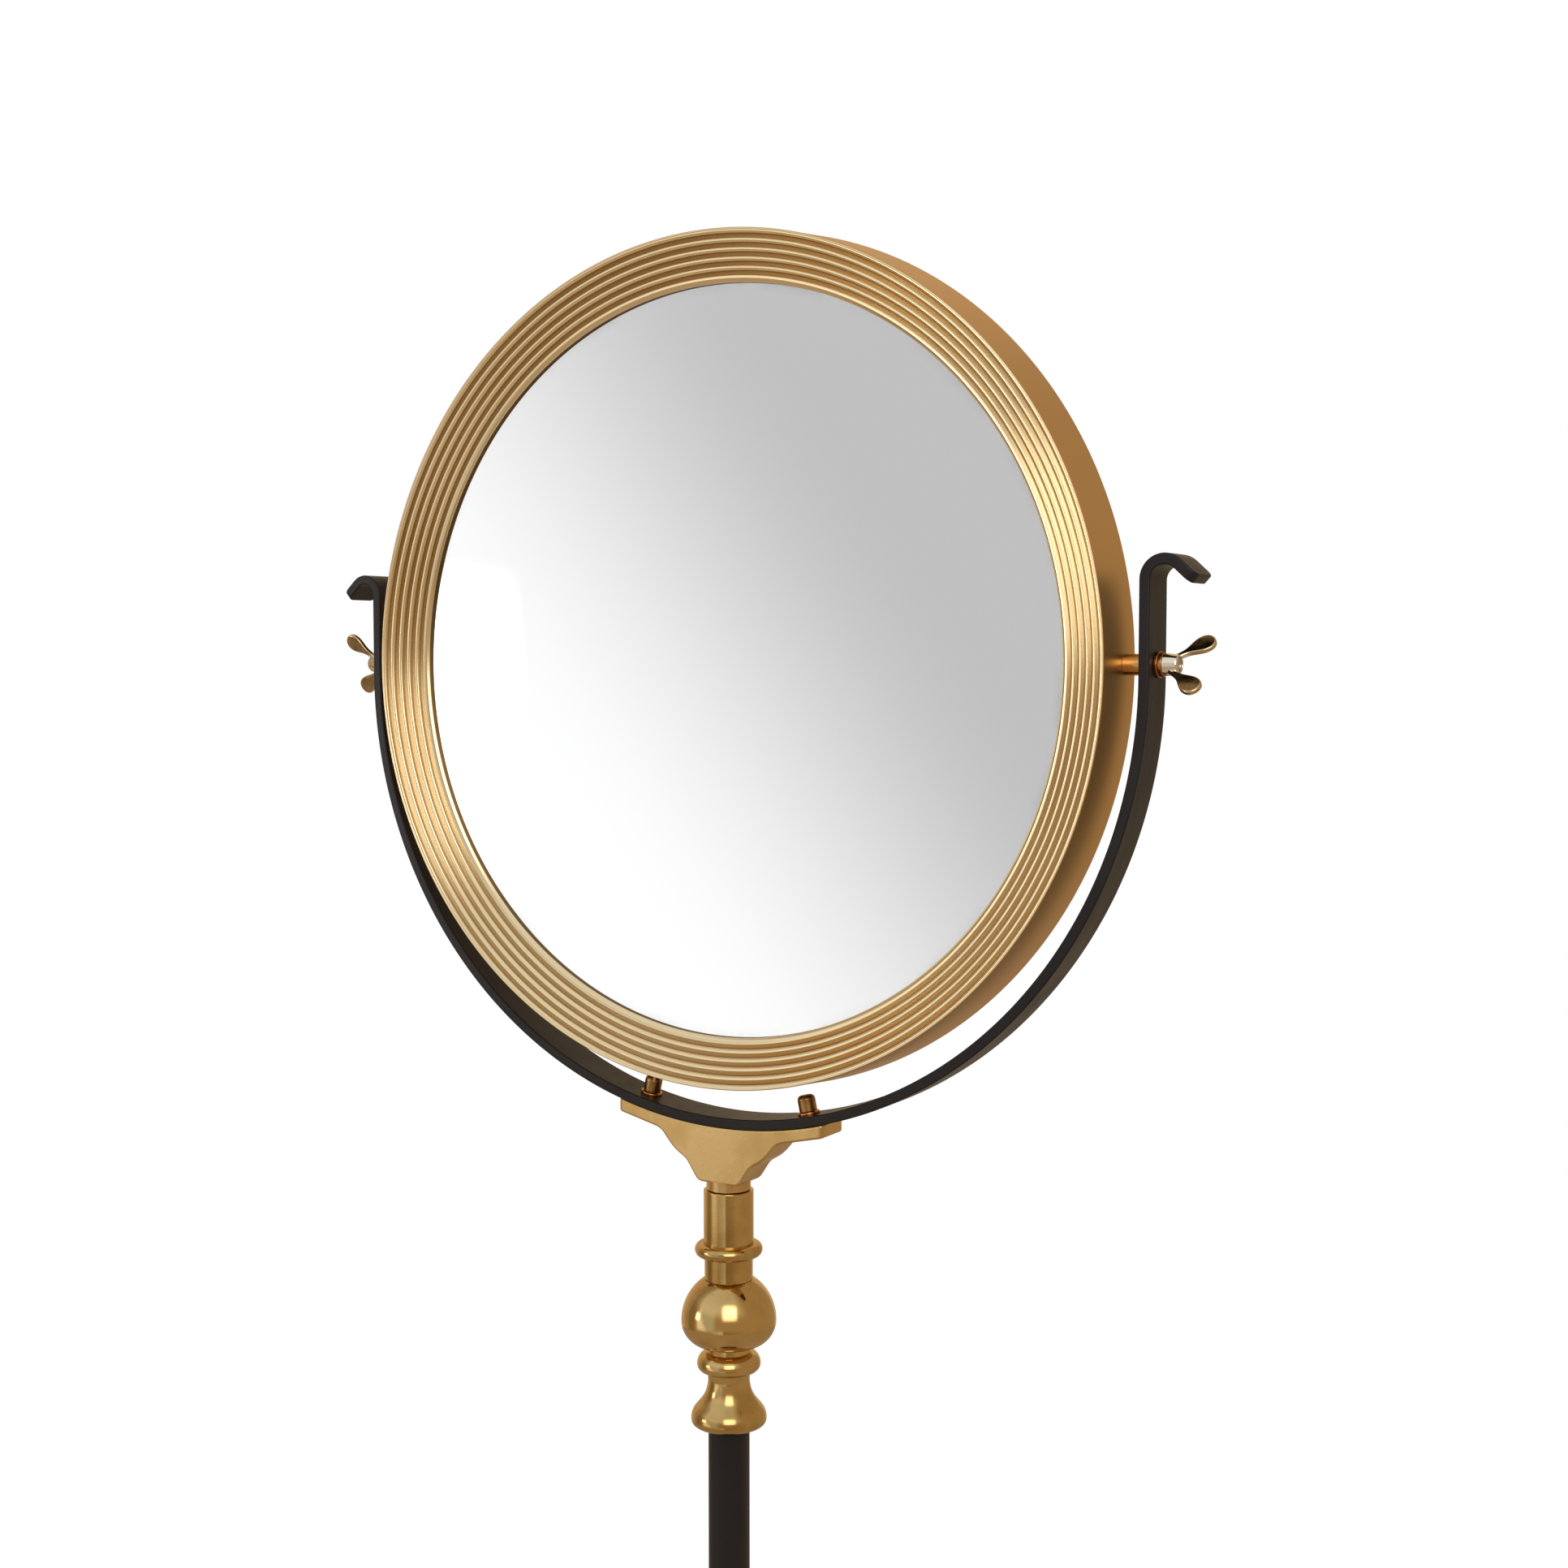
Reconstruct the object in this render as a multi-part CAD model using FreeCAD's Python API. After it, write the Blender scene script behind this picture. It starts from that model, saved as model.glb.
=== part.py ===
import FreeCAD, Part
import math
import os

os.makedirs("parts", exist_ok=True)
V = FreeCAD.Vector
X_AXIS = V(1, 0, 0)
Y_AXIS = V(0, 1, 0)
Z_AXIS = V(0, 0, 1)

# Round mirror that tilts in a U-shaped yoke on a turned column, a post and a weighted foot.
# Millimetres, +Z up, origin on the floor under the post, glass facing -Y.

# Whole stand
PIVOT_H = 1400.0            # tilt axis above the floor
RUN_FIT = 0.05              # radial clearance of a turning shaft
SEAT_FIT = 0.05             # radial clearance of a plug, bolt or screw in its own seat
CLAMP_GAP = 0.1             # clear gap at the faces that the wing nuts clamp
THRUST_GAP = 0.3            # clear gap under the swivelling shoulder

# Mirror ring, with depths counted from the tilt axis to the back
RING_R = 250.0              # outer radius at the front edge
RING_FLARE = 3.2            # gain in radius from the front edge to the back edge
RING_DEPTH = 36.0
RING_SET = 26.3             # front edge ahead of the tilt axis
RING_WALL = 3.0
EDGE_ROUND = 1.2            # rounding of the front edge
FACE_W = 28.8               # dished face, measured across from the front edge to the lip
LIP_R = RING_R - FACE_W     # radius of the glass that shows
LIP_RECESS = 13.2           # lip behind the front edge
LIP_T = 2.4
FLUTES = 5
FLUTE_DROP = 0.9            # depth of a flute at its outer end
FLUTE_COVE = 0.8            # width of the rise from there to the next ridge
ARRIS_W = 1.6               # flat ridge between two flutes
FACE_RIM = 2.8              # lip to the middle of the first ridge
EDGE_RIM = 2.0              # middle of the last ridge to the front edge
SKIRT_T = 7.0               # ring behind the lip that holds the glass

# Glass and back
GLASS_LAP = 3.8             # glass hidden behind the lip
GLASS_R = LIP_R + GLASS_LAP
GLASS_T = 4.0
GLASS_GAP = 0.5             # radial room around the glass and the board
BOARD_T = 5.0
CLIPS = 8
CLIP_W = 11.0
CLIP_T = 1.0
CLIP_REACH = 9.0            # clip from its screw inwards over the board
CLIP_SCREW_R = 1.5
CLIP_SCREW_L = 6.0
CLIP_HEAD_R = 3.0
CLIP_HEAD_H = 1.8

# Tilt pivots
SPACER_L = 11.4             # ring wall to yoke arm
SPACER_R = 5.8
BOLT_R = 4.0
BOLT_HEAD_AF = 13.0
BOLT_HEAD_H = 5.3
BOLT_HEAD_ROOM = 0.8        # spot face beyond the corners of the head
BOLT_SEAT = 2.2             # wall left under the bolt head
FLAT_WASHER_R = 7.1
FLAT_WASHER_T = 1.8
LOCK_WASHER_R = 6.5
LOCK_WASHER_T = 2.2
LOCK_SPLIT = 1.2
WING_HUB_R = 6.2
WING_HUB_TOP_R = 5.2
WING_HUB_H = 8.4
WING_HUB_DOME = 1.6
WING_T = 3.0
WING_TIP_R = 5.8            # round end of a wing
WING_TIP_OUT = 15.4         # centre of that round end from the bolt's axis
WING_TIP_UP = 18.2          # and from the nut's seat
WING_ROOT_R = 2.2
WING_ROOT_OUT = 4.6
WING_ROOT_UP = 4.4
WING_EDGE = 0.8
WING_TURN_LEFT = 24.0       # degrees from upright, upper wing towards the front
WING_TURN_RIGHT = -45.0
BOLT_SHORT = 1.0            # bolt end inside the wing nut's hub

# Yoke of flat bar
BAR_W = 25.4
BAR_T = 6.0
BAR_EDGE = 0.8
YOKE_DROP = 6.3             # centre of the yoke's half circle below the tilt axis
HOOK_H = 44.5               # centre of a hook's bend above the tilt axis
HOOK_R = 7.5                # inside radius of a hook
HOOK_TURN = 132.0           # degrees of bend
HOOK_TAIL = 12.5            # straight end of a hook
HOOK_CORNER = 5.0

# Yoke screws
SCREW_X = 56.5              # screw from the middle, on the bar's inner face
SCREW_R = 3.0
SCREW_IN = 4.6              # thread in the bracket
SCREW_DRILL = 18.0          # drilling from the bar down through the bracket's wing
SCREW_HEAD_R = 5.3
SCREW_HEAD_H = 9.6
SCREW_DOME = 2.4
SCREW_SLOT_W = 1.6
SCREW_SLOT_D = 3.0
SLOT_TURN_LEFT = -57.0      # degrees from the yoke's plane
SLOT_TURN_RIGHT = 33.0
SCREW_WASHER_R = 6.7
SCREW_WASHER_T = 2.0

# Saddle bracket, with widths from its middle and drops from the bar's underside in the middle
BRACKET_W = 24.6
BRACKET_HALF = 72.3
BRACKET_END = 2.0           # rounding of the wing ends
WING_END_RISE = 1.7         # underside of the wing end above that
KNEE_X = 41.5
KNEE_DROP = 5.4
STEP_X = 30.5
STEP_DROP = 17.2
HAUNCH_X = 22.5
HAUNCH_DROP = 22.4
STEM_X = 14.6
STEM_DROP = 34.4
COVE = 0.7                  # hollow of the two coves
NECK_R = 13.4
NECK_L = 5.2                # neck that shows under the stem
NECK_IN = 1.0               # neck inside the stem
SPIGOT_R = 9.0
SPIGOT_L = 32.0

# Column, from the top down
SLEEVE_R = 15.1
SLEEVE_L = 32.7
SLEEVE_BEVEL = 0.8
RING_MOULD_R = 20.5
RING_MOULD_H = 7.3          # seam to seam, the ring itself stands taller
COLLET_R = 14.6             # neck between the half-round ring and the ball
COLLET_L = 14.7
BUSH_WALL = 3.0
BUSH_L = 33.0
SOCKET_SPARE = 2.0          # room under the spigot and the bush
ROD_THREAD = 12.0           # rod's hold in the sleeve
BALL_R = 28.8
BALL_TOP_R = 15.2           # flats where the ball meets its neighbours
BALL_RISE = 25.3            # widest part up to the top flat
BALL_FOOT_R = 13.6
BALL_DROP = 15.4            # widest part down to the foot, flatter than the upper half
BEAD_NECK_R = 13.3          # short neck between the ball and the bead
BEAD_NECK = 3.8
BEAD_R = 19.3
BEAD_RISE = 7.4             # widest part of the bead up to the neck
BEAD_DROP = 4.6             # and down to its foot
BEAD_FOOT_R = 14.1
WAIST_R = 12.6
WAIST_STEP = 3.4            # drop from the bead to the waist
WAIST_PULL = 16.9           # pull of the waist on the bell's curve
BELL_PULL = 9.4             # pull of the widest part on it
BELL_R = 22.9
BELL_L = 25.5               # waist to the widest part
BELL_ROUND = 4.0            # rounded rim below the widest part
BELL_FOOT_R = 19.1

# Post, rod and foot
POST_R = 12.5
POST_WALL = 2.0
POST_IN_BELL = 12.0
POST_IN_BASE = 18.0
ROD_R = 4.0
ROD_ROOM = 0.3              # radial room where the rod passes through
ROD_TAIL = 1.0              # rod beyond its nut
NUT_AF = 13.0
NUT_H = 6.5
TIE_WASHER_R = 9.0
TIE_WASHER_T = 1.6
NUT_RECESS_R = 14.0
NUT_RECESS_D = 10.5
BASE_R = 180.0
BASE_RIM = 11.0             # upright edge of the foot
BASE_ROUND = 4.0
BASE_H = 32.0
BASE_HUB_R = 44.0
FELT_R = 172.0
FELT_T = 3.0
COLLAR_R = 34.0
COLLAR_RIM = 4.0
COLLAR_H = 36.0
COLLAR_BEAD_R = 19.5
COLLAR_BEAD_H = 10.0
COLLAR_TOP_R = 16.0


def outline(place, start, *legs):
    """Closed face. A leg is an end point, a (middle, end) arc or a list of curve poles."""
    edges = []
    here = start
    for leg in legs + (start,):
        if isinstance(leg, list):
            curve = Part.BezierCurve()
            curve.setPoles([place(*p) for p in [here] + leg])
            end = leg[-1]
            edges.append(curve.toShape())
        elif isinstance(leg[0], tuple):
            middle, end = leg
            edges.append(Part.Arc(place(*here), place(*middle), place(*end)).toShape())
        else:
            end = leg
            if math.dist(here, end) > 1e-9:
                edges.append(Part.makeLine(place(*here), place(*end)))
        here = end
    return Part.Face(Part.Wire(edges))


def turned(start, *legs):
    """Solid turned about the post, from (radius, height) points."""
    return outline(lambda r, z: V(r, 0, z), start, *legs).revolve(V(0, 0, 0), Z_AXIS, 360)


def ringed(start, *legs):
    """Solid turned about the mirror's own axis, from (radius, depth) points."""
    face = outline(lambda r, y: V(0, y, PIVOT_H + r), start, *legs)
    return face.revolve(V(0, 0, PIVOT_H), Y_AXIS, 360)


def barred(width, start, *legs):
    """Solid of the given width along Y, centred on the post, from (x, z) points."""
    return outline(lambda x, z: V(x, -width / 2, z), start, *legs).extrude(V(0, width, 0))


def cylinder_x(radius, x0, x1):
    """Cylinder on the tilt axis."""
    return Part.makeCylinder(radius, abs(x1 - x0), V(min(x0, x1), 0, PIVOT_H), X_AXIS)


def hexagon(across_flats, length, origin, along):
    """Hexagonal prism whose axis starts at origin."""
    side = across_flats / math.sqrt(3)
    across = V(0, side, 0)
    turn = FreeCAD.Rotation(along, 60)
    corners = [across]
    for _ in range(5):
        corners.append(turn.multVec(corners[-1]))
    points = [origin + c for c in corners + [across]]
    return Part.Face(Part.makePolygon(points)).extrude(along * length)


def rounded(solid, radius, wanted):
    """Solid with the wanted edges rounded."""
    return solid.makeFillet(radius, [e for e in solid.Edges if wanted(e)])


def lies_on_y(edge, depth):
    box = edge.BoundBox
    return abs(box.YMin - depth) < 1e-6 and abs(box.YMax - depth) < 1e-6


def mirrored(solid):
    return solid.mirror(V(0, 0, 0), X_AXIS)


def wall_radius(depth):
    """Outside of the ring's side wall at a depth from the tilt axis."""
    return RING_R + RING_FLARE * (depth + RING_SET) / RING_DEPTH


def about(a, b, sag):
    """Point beside the middle of a chord, sag to the left of the way from a to b."""
    length = math.dist(a, b)
    return (
        (a[0] + b[0]) / 2 - (b[1] - a[1]) / length * sag,
        (a[1] + b[1]) / 2 + (b[0] - a[0]) / length * sag,
    )


def swell(widest, end):
    """Middle point of the arc that leaves the widest point upright and runs in to the end point."""
    inward = widest[0] - end[0]
    climb = end[1] - widest[1]
    radius = (inward ** 2 + climb ** 2) / (2 * inward)
    half = math.atan2(climb, radius - inward) / 2
    return (widest[0] - radius * (1 - math.cos(half)), widest[1] + radius * math.sin(half))


# Places worked out from the sizes
front_y = -RING_SET
lip_y = front_y + LIP_RECESS
glass_y = lip_y + LIP_T
board_y = glass_y + GLASS_T
clip_y = board_y + BOARD_T
clip_head_y = clip_y + CLIP_T
pocket_r = GLASS_R + GLASS_GAP
clip_screw_at = pocket_r + SKIRT_T / 2
arm_x = wall_radius(0) + SPACER_L
arm_out_x = arm_x + BAR_T
washer_x = arm_out_x + CLAMP_GAP
lock_x = washer_x + FLAT_WASHER_T
nut_x = lock_x + LOCK_WASHER_T
bolt_seat_x = wall_radius(0) - BOLT_SEAT
bolt_end_x = nut_x + WING_HUB_H - BOLT_SHORT
yoke_z = PIVOT_H - YOKE_DROP
yoke_out_r = arm_x + BAR_T
saddle_z = yoke_z - yoke_out_r
stem_z = saddle_z - STEM_DROP
shoulder_z = stem_z - NECK_L
sleeve_z = shoulder_z - THRUST_GAP
mould_z = sleeve_z - SLEEVE_L
collet_z = mould_z - RING_MOULD_H
ball_top_z = collet_z - COLLET_L
ball_z = ball_top_z - BALL_RISE
ball_foot_z = ball_z - BALL_DROP
bead_top_z = ball_foot_z - BEAD_NECK
bead_z = bead_top_z - BEAD_RISE
bead_foot_z = bead_z - BEAD_DROP
waist_z = bead_foot_z - WAIST_STEP
bell_z = waist_z - BELL_L
bell_foot_z = bell_z - BELL_ROUND
post_top_z = bell_foot_z + POST_IN_BELL
base_top_z = FELT_T + BASE_H
post_foot_z = base_top_z - POST_IN_BASE
nut_seat_z = FELT_T + NUT_RECESS_D
rod_foot_z = nut_seat_z - TIE_WASHER_T - NUT_H - ROD_TAIL
rod_top_z = ball_top_z + ROD_THREAD


def make_ring():
    """Brass ring: fluted dished face, flared side wall and a skirt round the glass."""
    lip = (LIP_R, lip_y)
    edge = (RING_R, front_y)
    slope = math.dist(lip, edge)
    along = ((edge[0] - lip[0]) / slope, (edge[1] - lip[1]) / slope)

    def on_face(s, sink=0.0):
        return (lip[0] + along[0] * s - along[1] * sink, lip[1] + along[1] * s + along[0] * sink)

    pitch = (slope - FACE_RIM - EDGE_RIM) / FLUTES
    face = []
    for k in range(FLUTES):
        s0 = FACE_RIM + k * pitch + ARRIS_W / 2
        s1 = FACE_RIM + (k + 1) * pitch - ARRIS_W / 2
        face.append(on_face(s0))
        face.append(on_face(s1 - FLUTE_COVE, FLUTE_DROP))
        face.append(on_face(s1))
    edge_in = on_face(slope - EDGE_ROUND)
    edge_out = (wall_radius(front_y + EDGE_ROUND), front_y + EDGE_ROUND)
    chord = ((edge_in[0] + edge_out[0]) / 2, (edge_in[1] + edge_out[1]) / 2)
    edge_top = ((chord[0] + edge[0]) / 2, (chord[1] + edge[1]) / 2)
    back_y = front_y + RING_DEPTH
    wall_in = wall_radius(back_y) - RING_WALL
    skirt_r = pocket_r + SKIRT_T
    under = on_face(0, RING_WALL)
    rise = along[1] / along[0]
    inner_r = wall_radius(front_y) - RING_WALL
    ring = ringed(
        lip,
        *face,
        edge_in,
        (edge_top, edge_out),
        (wall_radius(back_y), back_y),
        (wall_in, back_y),
        (inner_r, under[1] + (inner_r - under[0]) * rise),
        (skirt_r, under[1] + (skirt_r - under[0]) * rise),
        (skirt_r, clip_y),
        (pocket_r, clip_y),
        (pocket_r, glass_y),
        (LIP_R, glass_y),
    )
    spot_r = BOLT_HEAD_AF / math.sqrt(3) + BOLT_HEAD_ROOM
    for side in (-1, 1):
        ring = ring.cut(cylinder_x(BOLT_R + SEAT_FIT, side * skirt_r, side * arm_x))
        ring = ring.cut(cylinder_x(spot_r, side * skirt_r, side * bolt_seat_x))
    screw_hole = rod_along_y(CLIP_SCREW_R + SEAT_FIT, CLIP_SCREW_L, clip_y - CLIP_SCREW_L)
    for k in range(CLIPS):
        ring = ring.cut(at_clip(k, screw_hole))
    return ring


def rod_along_y(radius, length, y0):
    """Cylinder on a clip screw's axis at the top of the ring."""
    return Part.makeCylinder(radius, length, V(0, y0, PIVOT_H + clip_screw_at), Y_AXIS)


def at_clip(k, solid):
    """Solid made at the top of the ring, turned to the place of clip k."""
    moved = solid.copy()
    moved.rotate(V(0, 0, PIVOT_H), Y_AXIS, (k + 0.5) * 360.0 / CLIPS)
    return moved


def make_glass():
    return Part.makeCylinder(GLASS_R, GLASS_T, V(0, glass_y, PIVOT_H), Y_AXIS)


def make_board():
    return Part.makeCylinder(GLASS_R, BOARD_T, V(0, board_y, PIVOT_H), Y_AXIS)


def make_clips():
    z0 = PIVOT_H + clip_screw_at - CLIP_REACH
    plate = Part.makeBox(CLIP_W, CLIP_T, CLIP_REACH + SKIRT_T / 2, V(-CLIP_W / 2, clip_y, z0))
    plate = plate.cut(rod_along_y(CLIP_SCREW_R + SEAT_FIT, CLIP_T, clip_y))
    return Part.makeCompound([at_clip(k, plate) for k in range(CLIPS)])


def make_clip_screws():
    shank = rod_along_y(CLIP_SCREW_R, CLIP_SCREW_L + CLIP_T, clip_head_y - CLIP_T - CLIP_SCREW_L)
    head = rod_along_y(CLIP_HEAD_R, CLIP_HEAD_H, clip_head_y)
    head = rounded(head, CLIP_HEAD_H / 2, lambda e: lies_on_y(e, clip_head_y + CLIP_HEAD_H))
    screw = head.fuse(shank).removeSplitter()
    return Part.makeCompound([at_clip(k, screw) for k in range(CLIPS)])


def make_bolt():
    """Right-hand pivot bolt with its head inside the ring."""
    head = hexagon(BOLT_HEAD_AF, BOLT_HEAD_H, V(bolt_seat_x - BOLT_HEAD_H, 0, PIVOT_H), X_AXIS)
    return head.fuse(cylinder_x(BOLT_R, bolt_seat_x, bolt_end_x)).removeSplitter()


def make_spacer(ring):
    """Right-hand sleeve from the ring's wall to the arm, its inner end cut to the wall."""
    tube = cylinder_x(SPACER_R, bolt_seat_x, arm_x - CLAMP_GAP)
    tube = tube.cut(cylinder_x(BOLT_R + SEAT_FIT, bolt_seat_x, arm_x))
    tube = tube.cut(ring)
    return max(tube.Solids, key=lambda s: s.CenterOfMass.x)


def make_flat_washer():
    disc = cylinder_x(FLAT_WASHER_R, washer_x, lock_x)
    return disc.cut(cylinder_x(BOLT_R + RUN_FIT, washer_x, lock_x))


def make_lock_washer():
    disc = cylinder_x(LOCK_WASHER_R, lock_x, nut_x)
    disc = disc.cut(cylinder_x(BOLT_R + RUN_FIT, lock_x, nut_x))
    split = Part.makeBox(LOCK_WASHER_T, LOCK_SPLIT, LOCK_WASHER_R, V(lock_x, -LOCK_SPLIT / 2, PIVOT_H))
    return disc.cut(split)


def make_wing():
    """One upper wing: round tip and root joined by their outer tangents."""
    root = (nut_x + WING_ROOT_UP, PIVOT_H + WING_ROOT_OUT)
    tip = (nut_x + WING_TIP_UP, PIVOT_H + WING_TIP_OUT)
    reach = math.dist(root, tip)
    lean = math.atan2(tip[1] - root[1], tip[0] - root[0])
    spread = math.acos((WING_ROOT_R - WING_TIP_R) / reach)

    def at(centre, radius, angle):
        return (centre[0] + radius * math.cos(angle), centre[1] + radius * math.sin(angle))

    wing = barred(
        WING_T,
        at(root, WING_ROOT_R, lean + spread),
        at(tip, WING_TIP_R, lean + spread),
        (at(tip, WING_TIP_R, lean), at(tip, WING_TIP_R, lean - spread)),
        at(root, WING_ROOT_R, lean - spread),
        (at(root, WING_ROOT_R, lean + math.pi), at(root, WING_ROOT_R, lean + spread)),
    )
    return rounded(wing, WING_EDGE, lambda e: lies_on_y(e, WING_T / 2) or lies_on_y(e, -WING_T / 2))


def make_wing_nut(turn):
    """Right-hand wing nut: tapered hub and two wings that lean outwards."""
    hub = Part.makeCone(WING_HUB_R, WING_HUB_TOP_R, WING_HUB_H, V(nut_x, 0, PIVOT_H), X_AXIS)
    hub_top = nut_x + WING_HUB_H
    hub = rounded(hub, WING_HUB_DOME, lambda e: abs(e.BoundBox.XMin - hub_top) < 1e-6)
    upper = make_wing()
    lower = upper.copy()
    lower.rotate(V(0, 0, PIVOT_H), X_AXIS, 180)
    nut = hub.fuse([upper, lower])
    nut = nut.cut(cylinder_x(BOLT_R + RUN_FIT, nut_x, hub_top + WING_TIP_UP)).removeSplitter()
    nut.rotate(V(0, 0, PIVOT_H), X_AXIS, turn)
    return nut


def hook_point(side, radius, turned_deg, tail=0.0):
    """Point on a hook: bend angle from the upright arm, then along the straight tail."""
    angle = math.radians(180.0 - turned_deg)
    x = arm_out_x + HOOK_R + radius * math.cos(angle) + tail * math.sin(angle)
    z = PIVOT_H + HOOK_H + radius * math.sin(angle) - tail * math.cos(angle)
    return (side * x, z)


def make_yoke():
    """Flat bar bent to a half circle with straight arms and outward hooks."""
    crown_r = HOOK_R + BAR_T
    hook_z = PIVOT_H + HOOK_H
    bar = barred(
        BAR_W,
        hook_point(1, crown_r, HOOK_TURN, HOOK_TAIL),
        hook_point(1, crown_r, HOOK_TURN),
        (hook_point(1, crown_r, HOOK_TURN / 2), (arm_x, hook_z)),
        (arm_x, yoke_z),
        ((0, yoke_z - arm_x), (-arm_x, yoke_z)),
        (-arm_x, hook_z),
        (hook_point(-1, crown_r, HOOK_TURN / 2), hook_point(-1, crown_r, HOOK_TURN)),
        hook_point(-1, crown_r, HOOK_TURN, HOOK_TAIL),
        hook_point(-1, HOOK_R, HOOK_TURN, HOOK_TAIL),
        hook_point(-1, HOOK_R, HOOK_TURN),
        (hook_point(-1, HOOK_R, HOOK_TURN / 2), (-arm_out_x, hook_z)),
        (-arm_out_x, yoke_z),
        ((0, saddle_z), (arm_out_x, yoke_z)),
        (arm_out_x, hook_z),
        (hook_point(1, HOOK_R, HOOK_TURN / 2), hook_point(1, HOOK_R, HOOK_TURN)),
        hook_point(1, HOOK_R, HOOK_TURN, HOOK_TAIL),
    )
    end_x = abs(hook_point(1, HOOK_R, HOOK_TURN, HOOK_TAIL)[0])
    end_x = min(end_x, abs(hook_point(1, crown_r, HOOK_TURN, HOOK_TAIL)[0]))

    def is_end_corner(edge):
        box = edge.BoundBox
        at_end = abs(abs(box.Center.x) - end_x) < BAR_T
        return at_end and box.YLength < 1e-6 and abs(edge.Length - BAR_T) < 1e-6

    bar = rounded(bar, HOOK_CORNER, is_end_corner)
    bar = rounded(bar, BAR_EDGE, lambda e: lies_on_y(e, BAR_W / 2) or lies_on_y(e, -BAR_W / 2))
    bar = bar.cut(cylinder_x(BOLT_R + RUN_FIT, -bolt_end_x, bolt_end_x))
    for side in (-1, 1):
        bar = bar.cut(at_screw(side, upright(SCREW_R + SEAT_FIT, -BAR_T - SCREW_DRILL, 0)))
        bar = bar.cut(at_screw(side, upright(SCREW_WASHER_R + SEAT_FIT, 0, BAR_T)))
    return bar


def upright(radius, low, high):
    """Cylinder on the post's axis, with heights from the bar's inner face."""
    return Part.makeCylinder(radius, high - low, V(0, 0, yoke_z - arm_x + low), Z_AXIS)


def at_screw(side, solid):
    """Solid made in the middle of the yoke, swung to a screw's place."""
    moved = solid.copy()
    moved.rotate(V(0, 0, yoke_z), Y_AXIS, -side * math.degrees(math.asin(SCREW_X / arm_x)))
    return moved


def make_screws():
    seat = SCREW_WASHER_T
    head = upright(SCREW_HEAD_R, seat, seat + SCREW_HEAD_H)
    top_z = yoke_z - arm_x + seat + SCREW_HEAD_H
    head = rounded(head, SCREW_DOME, lambda e: abs(e.BoundBox.ZMin - top_z) < 1e-6)
    screw = head.fuse(upright(SCREW_R, -BAR_T - SCREW_IN, seat)).removeSplitter()
    reach = SCREW_HEAD_R + SCREW_SLOT_W
    slot_at = V(-reach, -SCREW_SLOT_W / 2, top_z - SCREW_SLOT_D)
    screws = []
    for side, turn in ((-1, SLOT_TURN_LEFT), (1, SLOT_TURN_RIGHT)):
        slot = Part.makeBox(2 * reach, SCREW_SLOT_W, SCREW_SLOT_D, slot_at)
        slot.rotate(V(0, 0, 0), Z_AXIS, turn)
        screws.append(at_screw(side, screw.cut(slot)))
    return Part.makeCompound(screws)


def make_screw_washers():
    disc = upright(SCREW_WASHER_R, 0, SCREW_WASHER_T).cut(upright(SCREW_R + SEAT_FIT, 0, SCREW_WASHER_T))
    return Part.makeCompound([at_screw(side, disc) for side in (-1, 1)])


def make_bracket():
    """Saddle casting: two thin wings, two coves to a stem, a round neck and the swivel spigot."""
    wing_top = yoke_z - math.sqrt(yoke_out_r ** 2 - BRACKET_HALF ** 2)
    end = (BRACKET_HALF, saddle_z + WING_END_RISE)
    knee = (KNEE_X, saddle_z - KNEE_DROP)
    step = (STEP_X, saddle_z - STEP_DROP)
    haunch = (HAUNCH_X, saddle_z - HAUNCH_DROP)
    stem = (STEM_X, stem_z)
    end_l, knee_l, step_l, haunch_l, stem_l = [(-x, z) for x, z in (end, knee, step, haunch, stem)]
    saddle = barred(
        BRACKET_W,
        (BRACKET_HALF, wing_top),
        end,
        knee,
        (about(knee, step, -COVE), step),
        (about(step, haunch, -COVE), haunch),
        stem,
        stem_l,
        haunch_l,
        (about(haunch_l, step_l, -COVE), step_l),
        (about(step_l, knee_l, -COVE), knee_l),
        end_l,
        (-BRACKET_HALF, wing_top),
        ((0, saddle_z), (BRACKET_HALF, wing_top)),
    )

    def is_wing_end(edge):
        box = edge.BoundBox
        at_end = abs(abs(box.Center.x) - BRACKET_HALF) < 1e-6
        return at_end and box.XLength < 1e-6 and box.YLength < 1e-6

    saddle = rounded(saddle, BRACKET_END, is_wing_end)
    neck = Part.makeCylinder(NECK_R, NECK_L + NECK_IN, V(0, 0, shoulder_z), Z_AXIS)
    spigot = Part.makeCylinder(SPIGOT_R, SPIGOT_L, V(0, 0, shoulder_z - SPIGOT_L), Z_AXIS)
    bracket = saddle.fuse([neck, spigot]).removeSplitter()
    for side in (-1, 1):
        bracket = bracket.cut(at_screw(side, upright(SCREW_R + SEAT_FIT, -BAR_T - SCREW_DRILL, 0)))
    return bracket


def make_sleeve():
    """Column top: sleeve with the bush's socket, half-round ring and neck."""
    socket_r = SPIGOT_R + RUN_FIT + BUSH_WALL
    socket_z = sleeve_z - max(BUSH_L, SPIGOT_L) - SOCKET_SPARE
    thread_r = ROD_R + SEAT_FIT
    return turned(
        (socket_r, sleeve_z),
        (SLEEVE_R - SLEEVE_BEVEL, sleeve_z),
        (SLEEVE_R, sleeve_z - SLEEVE_BEVEL),
        (SLEEVE_R, mould_z),
        ((RING_MOULD_R, (mould_z + collet_z) / 2), (COLLET_R, collet_z)),
        (COLLET_R, ball_top_z),
        (thread_r, ball_top_z),
        (thread_r, rod_top_z),
        (0, rod_top_z),
        (0, socket_z),
        (socket_r, socket_z),
    )


def make_bush():
    inner = SPIGOT_R + RUN_FIT
    return turned(
        (inner, sleeve_z),
        (inner + BUSH_WALL, sleeve_z),
        (inner + BUSH_WALL, sleeve_z - BUSH_L),
        (inner, sleeve_z - BUSH_L),
    )


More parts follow.
